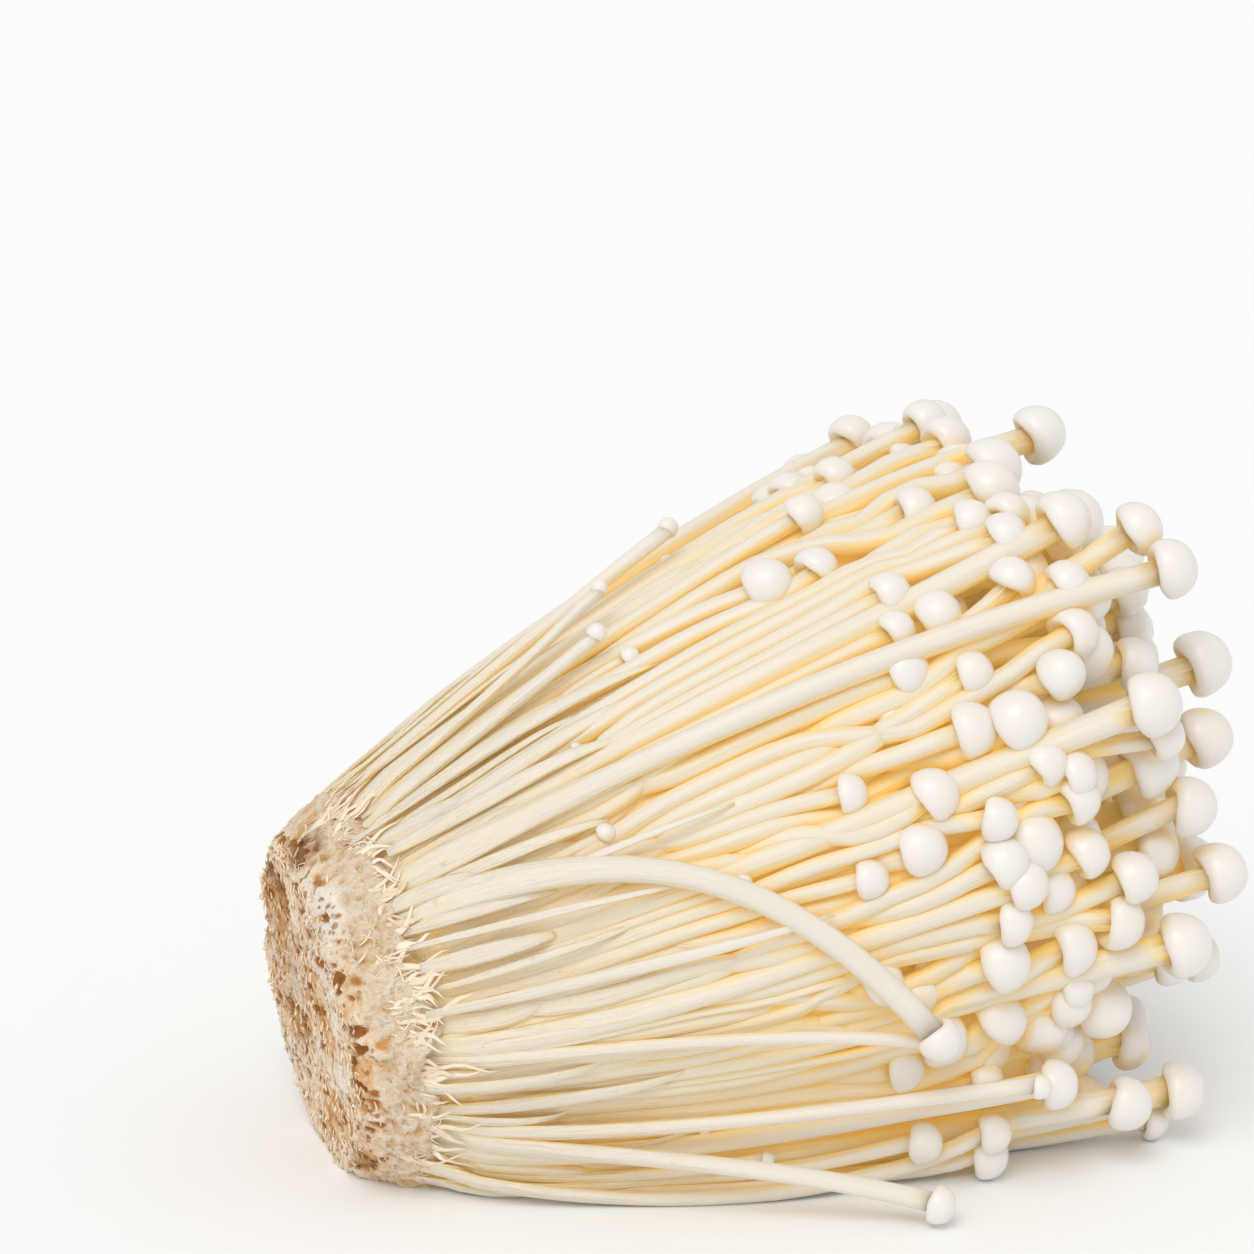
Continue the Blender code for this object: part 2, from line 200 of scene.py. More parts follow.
def plan_mains(rng):
    """The CAD part's mushrooms: a sunflower spiral with share ((i + 0.5) / n) to the 0.4."""
    order = np.arange(COUNT)
    share = ((order + 0.5) / COUNT) ** CROWDING * EDGE_SHARE
    turn = order * GOLDEN_TURN + rng.normal(0, 0.05, COUNT)
    reach = LONGEST * (1 - REACH_DROP * share**2) * rng.uniform(*REACHES, COUNT)
    cap = rng.uniform(*CAP_RADII, COUNT)
    stunting = rng.uniform(*STUNTED_REACHES, COUNT)
    short = (share > STUNTED_FROM) & (rng.random(COUNT) < STUNTED_CHANCE)
    reach = np.where(short, reach * stunting, reach)
    cap = np.where(short, cap * np.interp(stunting, STUNTED_REACHES, STUNTED_CAPS), cap)
    stem = np.clip(cap * rng.uniform(*STEM_TO_CAP, COUNT), *STEM_RADII)
    stray = np.array(STRAGGLERS, float)
    turn = np.concatenate([turn, np.radians(stray[:, 0])])
    share = np.concatenate([share, np.full(len(stray), EDGE_SHARE)])
    reach = np.concatenate([reach, stray[:, 1] * MM])
    cap = np.concatenate([cap, stray[:, 4] * MM])
    stem = np.concatenate([stem, stray[:, 5] * MM])
    return turn, share, reach, cap, stem


def plan_fill(rng):
    """The mushrooms between them, by kind: inner ones in a spiral, the rim's closer and of all
    lengths in front, with cuts up to 0.38 of a random number to a power, pinheads, low ones."""
    inner, pins, low = (np.arange(count) for count in (INNER_FILL, PINHEADS, LOW_FRONT))
    inner_share = between(INNER_SHARES, ((inner + 0.5) / INNER_FILL) ** 0.55)
    rim_share = between(RIM_SHARES, rng.uniform(0, 1, RIM_FILL) ** 0.8)
    low_share = rng.uniform(*LOW_SHARES, LOW_FRONT)
    share = [inner_share, rim_share, np.full(PINHEADS, PIN_SHARE), low_share]
    even = turns(RIM_FILL)
    rim_turn = even + FRONT_CLOSER * np.sin(even) + rng.normal(0, 0.02, RIM_FILL)
    low_turn = np.radians(between(LOW_TURNS, (low + 0.5) / LOW_FRONT))
    turn = [inner * GOLDEN_TURN + 1.1, rim_turn, pins * GOLDEN_TURN * 1.7, low_turn]
    near_side = np.clip(0.3 - np.cos(rim_turn), 0, 1)
    short = (inner_share > INNER_CUT_FROM) & (rng.random(INNER_FILL) < INNER_CUT_CHANCE)
    inner_cut = np.where(short, rng.uniform(*INNER_CUTS, INNER_FILL), 1)
    rim_cut = 1 - RIM_MOST_CUT * rng.uniform(0, 1, RIM_FILL) ** (2.4 - 1.2 * near_side)
    inner_reach = (1 - FILL_DROP * inner_share**2) * rng.uniform(*INNER_REACHES, INNER_FILL)
    rim_reach = (1 - FILL_DROP * rim_share**2) * rng.uniform(*RIM_REACHES, RIM_FILL)
    pin_reach = rng.uniform(*PIN_REACHES, PINHEADS)
    low_reach = between(LOW_REACHES, low * GOLDEN_TURN % 1)
    reach = [inner_reach * inner_cut, rim_reach * rim_cut, pin_reach, low_reach]
    inner_cap, rim_cap = rng.uniform(*INNER_CAPS, INNER_FILL), rng.uniform(*RIM_CAPS, RIM_FILL)
    rim_cap = rim_cap * np.interp(rim_cut, [1 - RIM_MOST_CUT, 0.95], [0.80, 1.0])
    cap = [inner_cap, rim_cap, rng.uniform(*PIN_CAPS, PINHEADS), rng.uniform(*LOW_CAPS, LOW_FRONT)]
    turn, share, reach, cap = (np.concatenate(parts) for parts in (turn, share, reach, cap))
    reach, cap = reach * LONGEST, cap * MM
    stem = np.clip(cap * rng.uniform(*FILL_STEM_TO_CAP, len(cap)), *FILL_STEMS)
    return turn, share, reach, cap, stem


def first_routes(along, turn, share, rng, stray, lively=1.0):
    """Each stem's places in the planes: share times the flare at its turn, a drift, two waves
    that grow with t, and for stragglers a stand-off by t squared and a sag by t cubed."""
    count, strays = len(turn), len(stray)
    t = along / LONGEST
    radius = share[:, None] * flare(along)
    angle = turn[:, None] + rng.normal(0, lively * DRIFT, count)[:, None] * t
    across = np.stack([radius * np.cos(angle), radius * np.sin(angle)], axis=-1)
    across[..., 1] += fan_lift(along)
    size = rng.normal(0, lively * STEM_WAVE, (count, 1, 2))
    phase = rng.uniform(0, FULL_TURN, (count, 1, 2))
    t = t[:, None]
    across += size * t * (np.sin(4.5 * t + phase) + 0.5 * np.sin(10 * t - 2 * phase))
    if strays:
        reach, off, sag = (stray[:, k, None] * MM for k in (1, 2, 3))
        own = np.clip(along / reach, 0, 1.3)
        outward = np.stack([np.cos(turn[-strays:]), np.sin(turn[-strays:])], axis=-1)
        across[-strays:] += (off * own**2)[..., None] * outward[:, None]
        across[-strays:, :, 1] -= sag * own**3
    return across


def girths(along, reach, cap, stem, tall=0.62):
    """Radius in each plane: the stem's, then an ellipse for the cap, `tall` of its height each
    way from its middle, and none beyond it."""
    body = stem[:, None] * stem_growth(along / reach[:, None])
    past = along - reach[:, None]
    height = CAP_HEIGHT * cap[:, None]
    middle = (past - 0.5 * height) / (tall * height)
    dome = cap[:, None] * np.sqrt(np.clip(1 - middle**2, 0, 1))
    return np.where(past < 0, np.maximum(body, dome), dome)


PUSH, EVENING, DRAWN_BACK = 0.4, 0.35, 0.02
DIRECTIONS = np.stack([np.cos(turns(48)), np.sin(turns(48))])
OUTLINE_END = 20
HELD_RADIUS = 1.6 * MM


def outline_of(places, girth):
    """How far the discs of each plane reach in each direction, the last planes as the 20th."""
    far = np.where(girth[..., None] > 0, places @ DIRECTIONS + girth[..., None], -1).max(axis=0)
    far[OUTLINE_END:] = far[OUTLINE_END]
    return far


def settle(along, start, girth, rounds, held=0, outline=None):
    """Discs in each plane push each other apart by 0.4 of their overlap, evened along each
    stem and drawn back by a fiftieth, none below the table. The first `held` stay put, and
    all others' stems but the last few, low in front, stay within the mains' outline."""
    here = start.copy()
    bound = slice(held, len(start) - LOW_FRONT)
    table = (REST_FACE[2] - CUT_CENTRE[2] - along * AXIS[2] + girth) / UP[2]
    lowest = np.where(girth > 0, table, -1)
    for _ in range(rounds):
        for plane in range(1, len(along)):
            live = np.nonzero(girth[:, plane] > 0)[0]
            apart = here[live, None, plane] - here[None, live, plane]
            distance = np.linalg.norm(apart, axis=-1) + 1e-9
            radius = girth[live, plane]
            overlap = radius[:, None] + radius + CLEARANCE - distance
            np.fill_diagonal(overlap, 0)
            push = apart / distance[..., None] * np.clip(overlap, 0, None)[..., None]
            here[live, plane] += PUSH * push.sum(axis=1)
        moved = here - start
        even = moved.copy()
        even[:, 1:-1] = (moved[:, :-2] + moved[:, 2:]) / 2
        even[:, -1] = 2 * moved[:, -2] - moved[:, -3]
        here += EVENING * (even - moved) - DRAWN_BACK * moved
        here[:, 0] = start[:, 0]
        here[..., 1] = np.maximum(here[..., 1], lowest)
        if held:
            slim = np.minimum(girth[bound], HELD_RADIUS)[..., None]
            past = here[bound] @ DIRECTIONS + slim - outline
            worst = past.argmax(axis=-1)
            excess = np.clip(np.take_along_axis(past, worst[..., None], axis=-1), 0, None)
            here[bound] -= excess * np.moveaxis(DIRECTIONS[:, worst], 0, -1)
            here[..., 1] = np.maximum(here[..., 1], lowest)
            here[:held] = start[:held]
    return here


def grow():
    """Every mushroom, mains first: routes, share, reach, cap and stem radius."""
    along = STEM_ROOT + np.arange(PLANES) * PLANE_STEP
    rng = np.random.default_rng(SEED)
    turn, *mains = plan_mains(rng)
    girth = girths(along, *mains[1:])
    start = first_routes(along, turn, mains[0], rng, np.array(STRAGGLERS, float))
    routes = settle(along, start, girth, SETTLING_ROUNDS)
    outline = outline_of(routes[:COUNT], girth[:COUNT])
    rng = np.random.default_rng(FILL_SEED)
    turn, *fill = plan_fill(rng)
    middle = first_routes(along, turn, fill[0], rng, np.empty((0, 6)), FILL_LIVELY)
    both = [np.concatenate(pair) for pair in zip(mains, fill)]
    girth = girths(along, *both[1:], tall=FILL_CAP_ROOM)
    start = np.concatenate([routes, middle])
    return settle(along, start, girth, FILL_ROUNDS, len(routes), outline), *both


def on_routes(routes, stations):
    """Smooth places on each route: a Catmull-Rom curve through its places in the planes, and
    before the first plane a straight line on from it."""
    place = (stations - STEM_ROOT) / PLANE_STEP
    cell = np.clip(np.floor(place).astype(int), 0, PLANES - 2)
    t = np.clip(place - cell, 0, 1)[..., None]
    short = np.minimum(place, 0)[..., None]
    before, here, after, beyond = (
        np.take_along_axis(routes, np.clip(cell + k, 0, PLANES - 1)[..., None], axis=1)
        for k in (-1, 0, 1, 2)
    )
    cubic = 3 * (here - after) + beyond - before
    square = 2 * before - 5 * here + 4 * after - beyond
    curve = here + 0.5 * t * (after - before + t * (square + t * cubic))
    return curve + short * (after - here)


# --- Meshes from arrays ---


def unit(vectors):
    return vectors / (np.linalg.norm(vectors, axis=-1, keepdims=True) + 1e-12)


def square_to(direction, vectors):
    """The vectors' parts square to the directions, one long."""
    return unit(vectors - (vectors * direction).sum(-1, keepdims=True) * direction)


def mesh_piece(name, points, quads, triangles, material):
    """An object from an array of points and the arrays of its four- and three-sided faces."""
    mesh = bpy.data.meshes.new(name)
    corners = np.concatenate([quads.ravel(), triangles.ravel()]).astype(np.int32)
    sizes = np.concatenate([np.full(len(quads), 4), np.full(len(triangles), 3)])
    starts = np.concatenate([[0], np.cumsum(sizes)[:-1]]).astype(np.int32)
    mesh.vertices.add(len(points))
    mesh.vertices.foreach_set("co", points.astype(np.float32).ravel())
    mesh.loops.add(len(corners))
    mesh.loops.foreach_set("vertex_index", corners)
    mesh.polygons.add(len(sizes))
    mesh.polygons.foreach_set("loop_start", starts)
    mesh.update(calc_edges=True)
    mesh.validate()
    mesh.shade_smooth()
    mesh.materials.append(material)
    obj = bpy.data.objects.new(name, mesh)
    bpy.context.scene.collection.objects.link(obj)
    return obj


def tube_faces(tubes, rows, sides):
    """Faces of tubes of rows x sides points, then a first and a last point for each tube."""
    ring = np.arange(sides)
    follow = np.roll(ring, -1)
    row = np.arange(rows - 1)[:, None] * sides
    quad = np.stack([row + ring, row + follow, row + sides + follow, row + sides + ring], -1)
    shift = np.arange(tubes)[:, None, None, None] * rows * sides
    quads = (quad[None] + shift).reshape(-1, 4)
    base = np.arange(tubes)[:, None] * rows * sides
    poles = tubes * rows * sides + np.arange(tubes)[:, None]
    first = np.stack([base + follow, base + ring, poles + 0 * ring], -1)
    top = base + (rows - 1) * sides
    last = np.stack([top + ring, top + follow, poles + tubes + 0 * ring], -1)
    return quads, np.concatenate([first.reshape(-1, 3), last.reshape(-1, 3)])


def tube_piece(name, rings, material, ends=None, lowest=-1.0):
    """One piece of many closed tubes: rings[tube, row, side], none below the lowest height,
    closed at two points each, by default the middles of their end rings."""
    rings[..., 2] = np.maximum(rings[..., 2], lowest)
    first, last = ends or (rings[:, 0].mean(axis=1), rings[:, -1].mean(axis=1))
    points = np.concatenate([rings.reshape(-1, 3), first, last])
    return mesh_piece(name, points, *tube_faces(*rings.shape[:3]), material)


def paint(piece, name, values):
    """A number, or a vector of three, on every point, for the material to read."""
    kind, key = ("FLOAT_VECTOR", "vector") if values.ndim == 2 else ("FLOAT", "value")
    attribute = piece.data.attributes.new(name, kind, "POINT")
    attribute.data.foreach_set(key, values.astype(np.float32).ravel())


def paint_tubes(piece, shape, ends=None, **painted):
    """Values for a piece of tubes x rows x sides, and their means at its end points unless
    the ends are given."""
    for name, values in painted.items():
        values = np.broadcast_to(values, shape + np.shape(values)[3:])
        first, last = ends or (values[:, 0].mean(axis=1), values[:, -1].mean(axis=1))
        flat = values.reshape(-1, *values.shape[3:])
        paint(piece, name, np.concatenate([flat, first, last]))


def points_of(piece):
    """The points and their normals."""
    mesh = piece.data
    points, normals = np.empty((2, len(mesh.vertices) * 3), np.float32)
    mesh.vertices.foreach_get("co", points)
    mesh.vertex_normals.foreach_get("vector", normals)
    return points.reshape(-1, 3).astype(float), normals.reshape(-1, 3).astype(float)


# --- Noise ---


def cell_random(cells, seed):
    """A number in 0..1 for each whole-numbered cell, from its three numbers' mixed bits."""
    mixed = cells[..., 0] * 73856093 ^ cells[..., 1] * 19349663 ^ cells[..., 2] * 83492791
    mixed = (mixed ^ seed * 2654435) & 0x7FFFFFFF
    mixed = (mixed ^ mixed >> 13) * 1274126177 & 0x7FFFFFFF
    mixed = (mixed ^ mixed >> 15) * 668265263 & 0x7FFFFFFF
    return (mixed ^ mixed >> 16) / 0x7FFFFFFF


def cell_corners(t):
    """A cell's eight corners, and their weights for places t of the way through it."""
    for corner in np.ndindex(2, 2, 2):
        yield np.array(corner), np.prod(np.where(corner, t, 1 - t), axis=-1)


def soft_noise(places, seed):
    """Value noise in -1..1: the eight corners' random numbers, blended by 3 t^2 - 2 t^3."""
    cell = np.floor(places).astype(np.int64)
    t = places - cell
    t = t * t * (3 - 2 * t)
    return 2 * sum(w * cell_random(cell + corner, seed) for corner, w in cell_corners(t)) - 1


def rough_noise(places, octaves, seed):
    """Octaves of soft noise, each twice as fine and half as strong as the one before."""
    return sum(soft_noise(places * 2**k, seed + k) / 2**k for k in range(octaves))


def cell_pits(places, seed):
    """Distance to the nearest of one random point per cell, and that point's own number."""
    cell = np.floor(places).astype(np.int64)
    nearest = np.full(places.shape[:-1], 9.0)
    number = np.zeros(places.shape[:-1])
    for corner in np.ndindex(3, 3, 3):
        other = cell + np.array(corner) - 1
        seedling = np.stack([cell_random(other, seed + k) for k in (11, 12, 13)], axis=-1)
        distance = np.linalg.norm(other + seedling - places, axis=-1)
        closer = distance < nearest
        nearest = np.where(closer, distance, nearest)
        number = np.where(closer, cell_random(other, seed + 14), number)
    return nearest, number


# --- Crowding: how closely packed it is around a point, which sets the painted shade and painted glow in the flesh ---

GRID_STEP = 1.25 * MM
GRID_MARGIN = 12 * MM


class Crowding:
    """How full the space round a point is, from 0 in the open to 1 deep in the bundle.

    Every stem and cap is filled with weighted points, they are counted on a grid, the counts
    are blurred three times by a box, and a point reads the grid a little way off its surface.
    """

    def __init__(self, points, volumes):
        self.low = points.min(axis=0) - GRID_MARGIN
        sizes = np.ceil((points.max(axis=0) + GRID_MARGIN - self.low) / GRID_STEP).astype(int)
        edges = [self.low[k] + np.arange(sizes[k] + 1) * GRID_STEP for k in range(3)]
        filled = np.histogramdd(points, bins=edges, weights=volumes)[0] / GRID_STEP**3
        for _ in range(3):
            for axis in range(3):
                filled = sum(np.roll(filled, k, axis=axis) for k in (-1, 0, 1)) / 3
        self.filled = filled

    def at(self, points):
        place = np.clip((points - self.low) / GRID_STEP - 0.5, 0, None)
        cell = np.minimum(np.floor(place).astype(int), np.array(self.filled.shape) - 2)
        t = np.clip(place - cell, 0, 1)
        return sum(w * self.filled[tuple((cell + corner).T)] for corner, w in cell_corners(t))

    def around(self, points, normals):
        """The mean of three readings, 1.5, 3.5 and 6 mm off the surface."""
        return sum(self.at(points + off * MM * normals) for off in (1.5, 3.5, 6.0)) / 3


CORE_ALONG = np.array([9.3, 12.5, 18, 34, 50, 63, 72, 80]) * MM
CORE_SHARE = np.array([0.93, 0.95, 0.88, 0.79, 0.71, 0.62, 0.48, 0.0])
COUNTED_ROWS = 70
COUNTED_STEP = 1.2 * MM


def core_radius(along):
    """The core's radius: its share of the flare, in straight pieces."""
    return np.interp(along, CORE_ALONG, CORE_SHARE) * flare(along)


def crowding_of(routes, reach, cap, stem):
    """Seven points a station in each stem, seven in each cap's middle, and the core's own."""
    share = (np.arange(COUNTED_ROWS) + 0.5) / COUNTED_ROWS
    stations = STEM_ROOT + (reach[:, None] - STEM_ROOT) * share
    places = on_routes(routes, stations)
    centres = in_space(stations, places[..., 0], places[..., 1])
    radii = stem[:, None] * stem_growth(share)
    lengths = (reach - STEM_ROOT)[:, None] / COUNTED_ROWS
    disc = np.concatenate([0.65 * outwards(turns(6)), np.zeros((1, 3))])
    inside = centres[:, :, None] + radii[..., None, None] * disc
    weight = np.broadcast_to((math.pi * radii**2 * lengths / 7)[..., None], inside.shape[:3])
    heads = centres[:, -1:, None] + cap[:, None, None, None] * (disc + 0.7 * AXIS)
    bulk = np.broadcast_to((3.4 * cap**3 / 7)[:, None, None], heads.shape[:3])
    along, turn, radial = np.meshgrid(
        np.arange(10 * MM, 74 * MM, COUNTED_STEP),
        np.arange(0, FULL_TURN, 0.05),
        np.arange(0.05, 1, 0.05),
    )
    radius = core_radius(along)
    core = round_axis(along, radius * np.sqrt(radial), turn, fan_lift(along))
    volume = math.pi * radius**2 * COUNTED_STEP / (turn.shape[0] * radial.shape[2])
    points = np.concatenate([inside.reshape(-1, 3), heads.reshape(-1, 3), core.reshape(-1, 3)])
    return Crowding(points, np.concatenate([weight.ravel(), bulk.ravel(), volume.ravel()]))


# --- Mushrooms ---

LIP = 0.38
# How the stems widen and thin at the root, how far caps tip, and more so at the rim, how flat
# they are pressed, and how far off the floor they stay.
ROOT_WIDER, ROOT_THINNER = 0.85, 0.15
TIPPING, RIM_TIPPING = 0.15, 0.26
SQUASH = (0.90, 1.05)
FLOOR_GAP = 0.03 * MM


def cap_profile(rows):
    """Radius and height, in cap radii, from the stem under the cap, round its lip, to the crown.

    The underside comes down from the stem to the lip's lowest ring, the lip is a quarter
    ellipse out to the widest place at 0.38, and the dome an ellipse from there to the crown.
    """
    rolled = max(4, rows * 2 // 5)
    dome = rows - 2 - rolled
    b = np.arange(rolled) / rolled * math.pi / 2
    rolled_radius, rolled_height = 0.70 + 0.30 * np.sin(b), LIP * (1 - np.cos(b))
    b = (np.arange(dome) + 0.1) / dome * math.pi / 2
    dome_radius, dome_height = np.cos(b) ** 0.90, LIP + (CROWN - LIP) * np.sin(b)
    return (
        np.concatenate([[0.36, 0.54], rolled_radius, dome_radius]),
        np.concatenate([[0.34, 0.13], rolled_height, dome_height]),
    )


def ellipses(centres, turn, wide, first, thin, second):
    """Rings of points: each centre, plus the turn's cosine times the width one way and its
    sine times the thickness the other."""
    rings = centres[..., None, :] + (wide * np.cos(turn))[..., None] * first[..., None, :]
    return rings + (thin * np.sin(turn))[..., None] * second[..., None, :]


def grain_of(turn, width, length, offset, flatness=1.0):
    """Places for the fibres to read, in mm: round the stem, and up it as the third number."""
    side, up = flatness * width * np.cos(turn), width * np.sin(turn)
    side, up, along = np.broadcast_arrays(side / MM + offset, up / MM, length / MM + offset)
    return np.stack([side, up, along], axis=-1)


def rootiness(along):
    """1 near the root, 0 from 55 mm up."""
    return 1 - fade(12 * MM, 55 * MM, along)


def mushrooms_piece(name, chosen, bunch, stem_rows, sides, material, crowding, seed):
    """Stems and caps in one skin each.

    A stem is rings round its smooth route, thin at the root, wider round the bunch than
    through it there, with two shallow grooves and a gentle swelling. A cap is its profile
    turned round the stem's last direction, tipped a little, its rim in two or three lobes.
    """
    routes, share, reach, cap, stem = (values[chosen] for values in bunch)
    count = len(reach)
    rng = np.random.default_rng(seed)
    u = np.linspace(0, 1, stem_rows)
    rows_from = ROOT_START + rng.uniform(0, 1.5 * MM, (count, 1))
    stations = rows_from + (reach[:, None] + 0.3 * cap[:, None] - rows_from) * u**1.12
    places = on_routes(routes, stations)
    places *= 1 - 0.10 * (1 - fade(ROOT_START, 15 * MM, stations))[..., None]
    centres = in_space(stations, places[..., 0], places[..., 1])
    growing = unit(np.gradient(centres, axis=1))
    bearing = np.arctan2(places[..., 1] - fan_lift(stations), places[..., 0])
    out = square_to(growing, outwards(bearing))
    around = np.cross(out, growing)
    turn = turns(sides)
    phase = rng.uniform(0, FULL_TURN, (count, 6, 1, 1))
    row = u[:, None]
    flat = 1 - fade(0, FULL_FROM, row)
    swell = 1 + 0.05 * np.sin(5 * row + phase[:, 0]) + 0.07 * fade(0.75, 1, row)
    groove = 0.05 * np.sin(2 * turn + phase[:, 1] + 2 * row)
    groove = groove + 0.035 * np.sin(3 * turn + phase[:, 2] - 3 * row)
    groove = groove + (0.02 + 0.06 * flat) * np.sin(5 * turn + phase[:, 3] + 4 * row)
    radius = stem[:, None, None] * stem_growth(row) * swell * (1 + groove)
    rooted = 1 - fade(8 * MM, 46 * MM, stations)[:, :, None]
    wide, thin = 1 + ROOT_WIDER * rooted + 0.08 * flat, 1 - ROOT_THINNER * rooted
    stems = ellipses(centres, turn, radius * thin, out, radius * wide, -around)
    cap_rows = max(10, stem_rows * 16 // 24)
    profile, height = cap_profile(cap_rows)
    tip = rng.normal(0, TIPPING, (count, 2))
    tip[:, 0] += RIM_TIPPING * share**2
    facing = unit(growing[:, -1] + tip[:, :1] * out[:, -1] + tip[:, 1:] * around[:, -1])
    cap_out = square_to(facing, out[:, -1])
    cap_side = np.cross(facing, cap_out)
    seat = in_space(reach, *np.moveaxis(on_routes(routes, reach[:, None])[:, 0], -1, 0))
    low = (1 - height / CROWN)[:, None]
    lobes = low * (0.03 * np.sin(2 * turn + phase[:, 4]) + 0.015 * np.sin(3 * turn + phase[:, 5]))
    dip = 0.07 * np.sin(2 * turn + phase[:, 5]) + 0.015 * np.sin(5 * turn + phase[:, 0])
    dip = low**3 * dip * (profile > 0.55)[:, None]
    squash = rng.uniform(*SQUASH, (count, 1, 1))
    wide_cap = cap[:, None, None] * profile[:, None] * (1 + lobes)
    high_cap = cap[:, None, None] * squash * (height[:, None] + dip)
    caps = ellipses(seat[:, None], turn, wide_cap, cap_out[:, None], wide_cap, cap_side[:, None])
    caps = caps + high_cap[..., None] * facing[:, None, None]
    rings = np.concatenate([stems, caps], axis=1)
    crown = seat + (cap * squash[:, 0, 0] * CROWN)[:, None] * facing
    lift = np.clip(FLOOR_GAP - rings[..., 2].min(axis=2), 0, None)
    head_lift = lift[:, stem_rows:].max(axis=1)
    share_of_lift = np.concatenate([fade(0.55, 1, u), np.ones(cap_rows)])
    rings[..., 2] += np.maximum(lift, head_lift[:, None] * share_of_lift)[..., None]
    crown[:, 2] += head_lift
    piece = tube_piece(name, rings, material, (centres[:, 0], crown))
    offset = rng.uniform(0, 50, (count, 1, 1))
    length = np.concatenate([stations, reach[:, None] + cap[:, None] * height], axis=1)[..., None]
    width = np.concatenate([radius.mean(axis=2), cap[:, None] * profile], axis=1)[..., None]
    under_cap = fade(0.3, 0.62, profile[:3])
    head = np.concatenate([np.zeros(stem_rows), under_cap, np.ones(cap_rows - 3)])
    shape = rings.shape[:3]
    tone = rng.uniform(0, 1, (count, 1, 1))
    paint_tubes(piece, shape, grain=grain_of(turn, width, length, offset), tone=tone)
    paint_tubes(piece, shape, (np.zeros(count), np.ones(count)), head=head[:, None])
    paint_tubes(piece, shape, (np.ones(count), np.zeros(count)), rooty=rootiness(length))
    # Crowding, read by the flesh material for its painted shade and painted glow.
    paint(piece, "crowding", crowding.around(*points_of(piece)))
    return piece


def core_piece(material, crowding):
    """The core behind the stems: its radius by the turn's flutes, in rings up the axis."""
    rows, sides, flute = 60, 264, 0.9 * MM
    along = np.linspace(CORE_ALONG[0], CORE_ALONG[-1] - 0.3 * MM, rows)[:, None]
    turn = turns(sides)
    leaning = turn + 0.10 * np.sin(along / (16 * MM) + 3 * turn)
    ridges = flute * np.abs(np.sin(33 * leaning)) * fade(9 * MM, 15 * MM, along)
    radius = np.clip(core_radius(along) + ridges - flute, 0.2 * MM, None)
    places = round_axis(along + 0 * turn, radius, turn, fan_lift(along))
    ends = in_space(along[[0, -1]], 0.0, fan_lift(along[[0, -1]]))
    piece = tube_piece("stem_core", places[None], material, tuple(ends), 0.5 * MM)
    points, normals = points_of(piece)
    local = points - CUT_CENTRE
    grain = np.stack([local @ SIDE, local @ UP, local @ AXIS], axis=-1) / MM
    paint(piece, "grain", grain)
    paint(piece, "head", np.zeros(len(points)))
    paint(piece, "tone", np.full(len(points), 0.4))
    paint(piece, "rooty", 1 - fade(10, 42, grain[:, 2]))
    # Crowding for the core, held between 0.26 and 0.42, read by the flesh material for its painted
    # shade and painted glow.
    paint(piece, "crowding", np.clip(crowding.around(points, normals), 0.26, 0.42))
    return piece


# --- The root block ---

FACE_RINGS = 124
EDGE_RINGS = 10
WALL_RINGS = 46
FRONT_RINGS = 12
BLOCK_SIDES = 440
WALL_END = 8.8 * MM
EDGE_ROUND = 1.5 * MM

# The block's skin is mapped flat, its wall as a ring round its face. Brown places on it: side,
# up, half width, half height in mm, and strength.
STAINS = (
    (2.5, -4.0, 1.9, 5.0, 1.0),
    (10.5, -2.3, 2.4, 3.0, 0.85),
    (20.5, 6.5, 3.6, 5.0, 1.0),
    (4.0, 15.0, 4.5, 4.5, 1.0),
    (12.0, 16.5, 6.5, 5.0, 0.8),
    (-3.5, 25.5, 6.0, 4.2, 0.95),
    (-16.5, -17.6, 4.0, 3.4, 0.85),
    (9.0, 4.0, 12.0, 19.0, 0.30),
    (-1.0, 5.0, 1.8, 3.0, 0.45),
)
# Places where the felt is whole and white, with few pits.
WHITE_FELT = ((-13.8, 19.7, 7.0, 6.0, 1.0), (-17.0, 1.0, 5.0, 13.0, 0.6))


def patches(side, up, table):
    """The strongest of soft ellipses: strength times a fade of the distance in half sizes."""
    total = np.zeros(side.shape)
    for at_side, at_up, half_side, half_up, strength in table:
        away = np.hypot((side - at_side) / half_side, (up - at_up) / half_up)
        total = np.maximum(total, strength * (1 - fade(0.35, 1.15, away)))
    return total


def block_base():
    """The block before its relief: rings out over the cut face, round its edge, up its wall
    and in over its front. Along and share of the flare for each ring."""
    face = np.linspace(0.004, 1, FACE_RINGS) ** 0.8
    edge = np.linspace(0, math.pi / 2, EDGE_RINGS + 2)[1:-1]
    wall = np.linspace(EDGE_ROUND, WALL_END, WALL_RINGS)
    inward = np.linspace(0, 1, FRONT_RINGS + 1)[1:]
    front = WALL_END + 3.0 * MM * inward**0.5
    rounding = EDGE_ROUND / CUT_RADIUS
    face_share, edge_share = face * (1 - rounding), 1 - rounding * (1 - np.sin(edge))
    wall_share = 1.0 + 0.02 * np.sin(math.pi * wall / WALL_END)
    along = [0 * face, EDGE_ROUND * (1 - np.cos(edge)), wall, front]
    share = [face_share, edge_share, wall_share, 1 - 0.97 * inward**1.5]
    return np.concatenate(along), np.concatenate(share)


def ridged(places, octaves, seed):
    """Fibres: one less twice the size of soft noise, so its zero lines stand up as ridges."""
    total = sum(
        (1 - 2 * np.abs(soft_noise(places * 1.9**k, seed + k))) / 1.7**k for k in range(octaves)
    )
    return total / 2


def ring_noise(turn, radius, seed):
    """Soft noise round a circle of so many cells."""
    return soft_noise(radius * np.stack([np.cos(turn), np.sin(turn), 0 * turn], -1), seed)


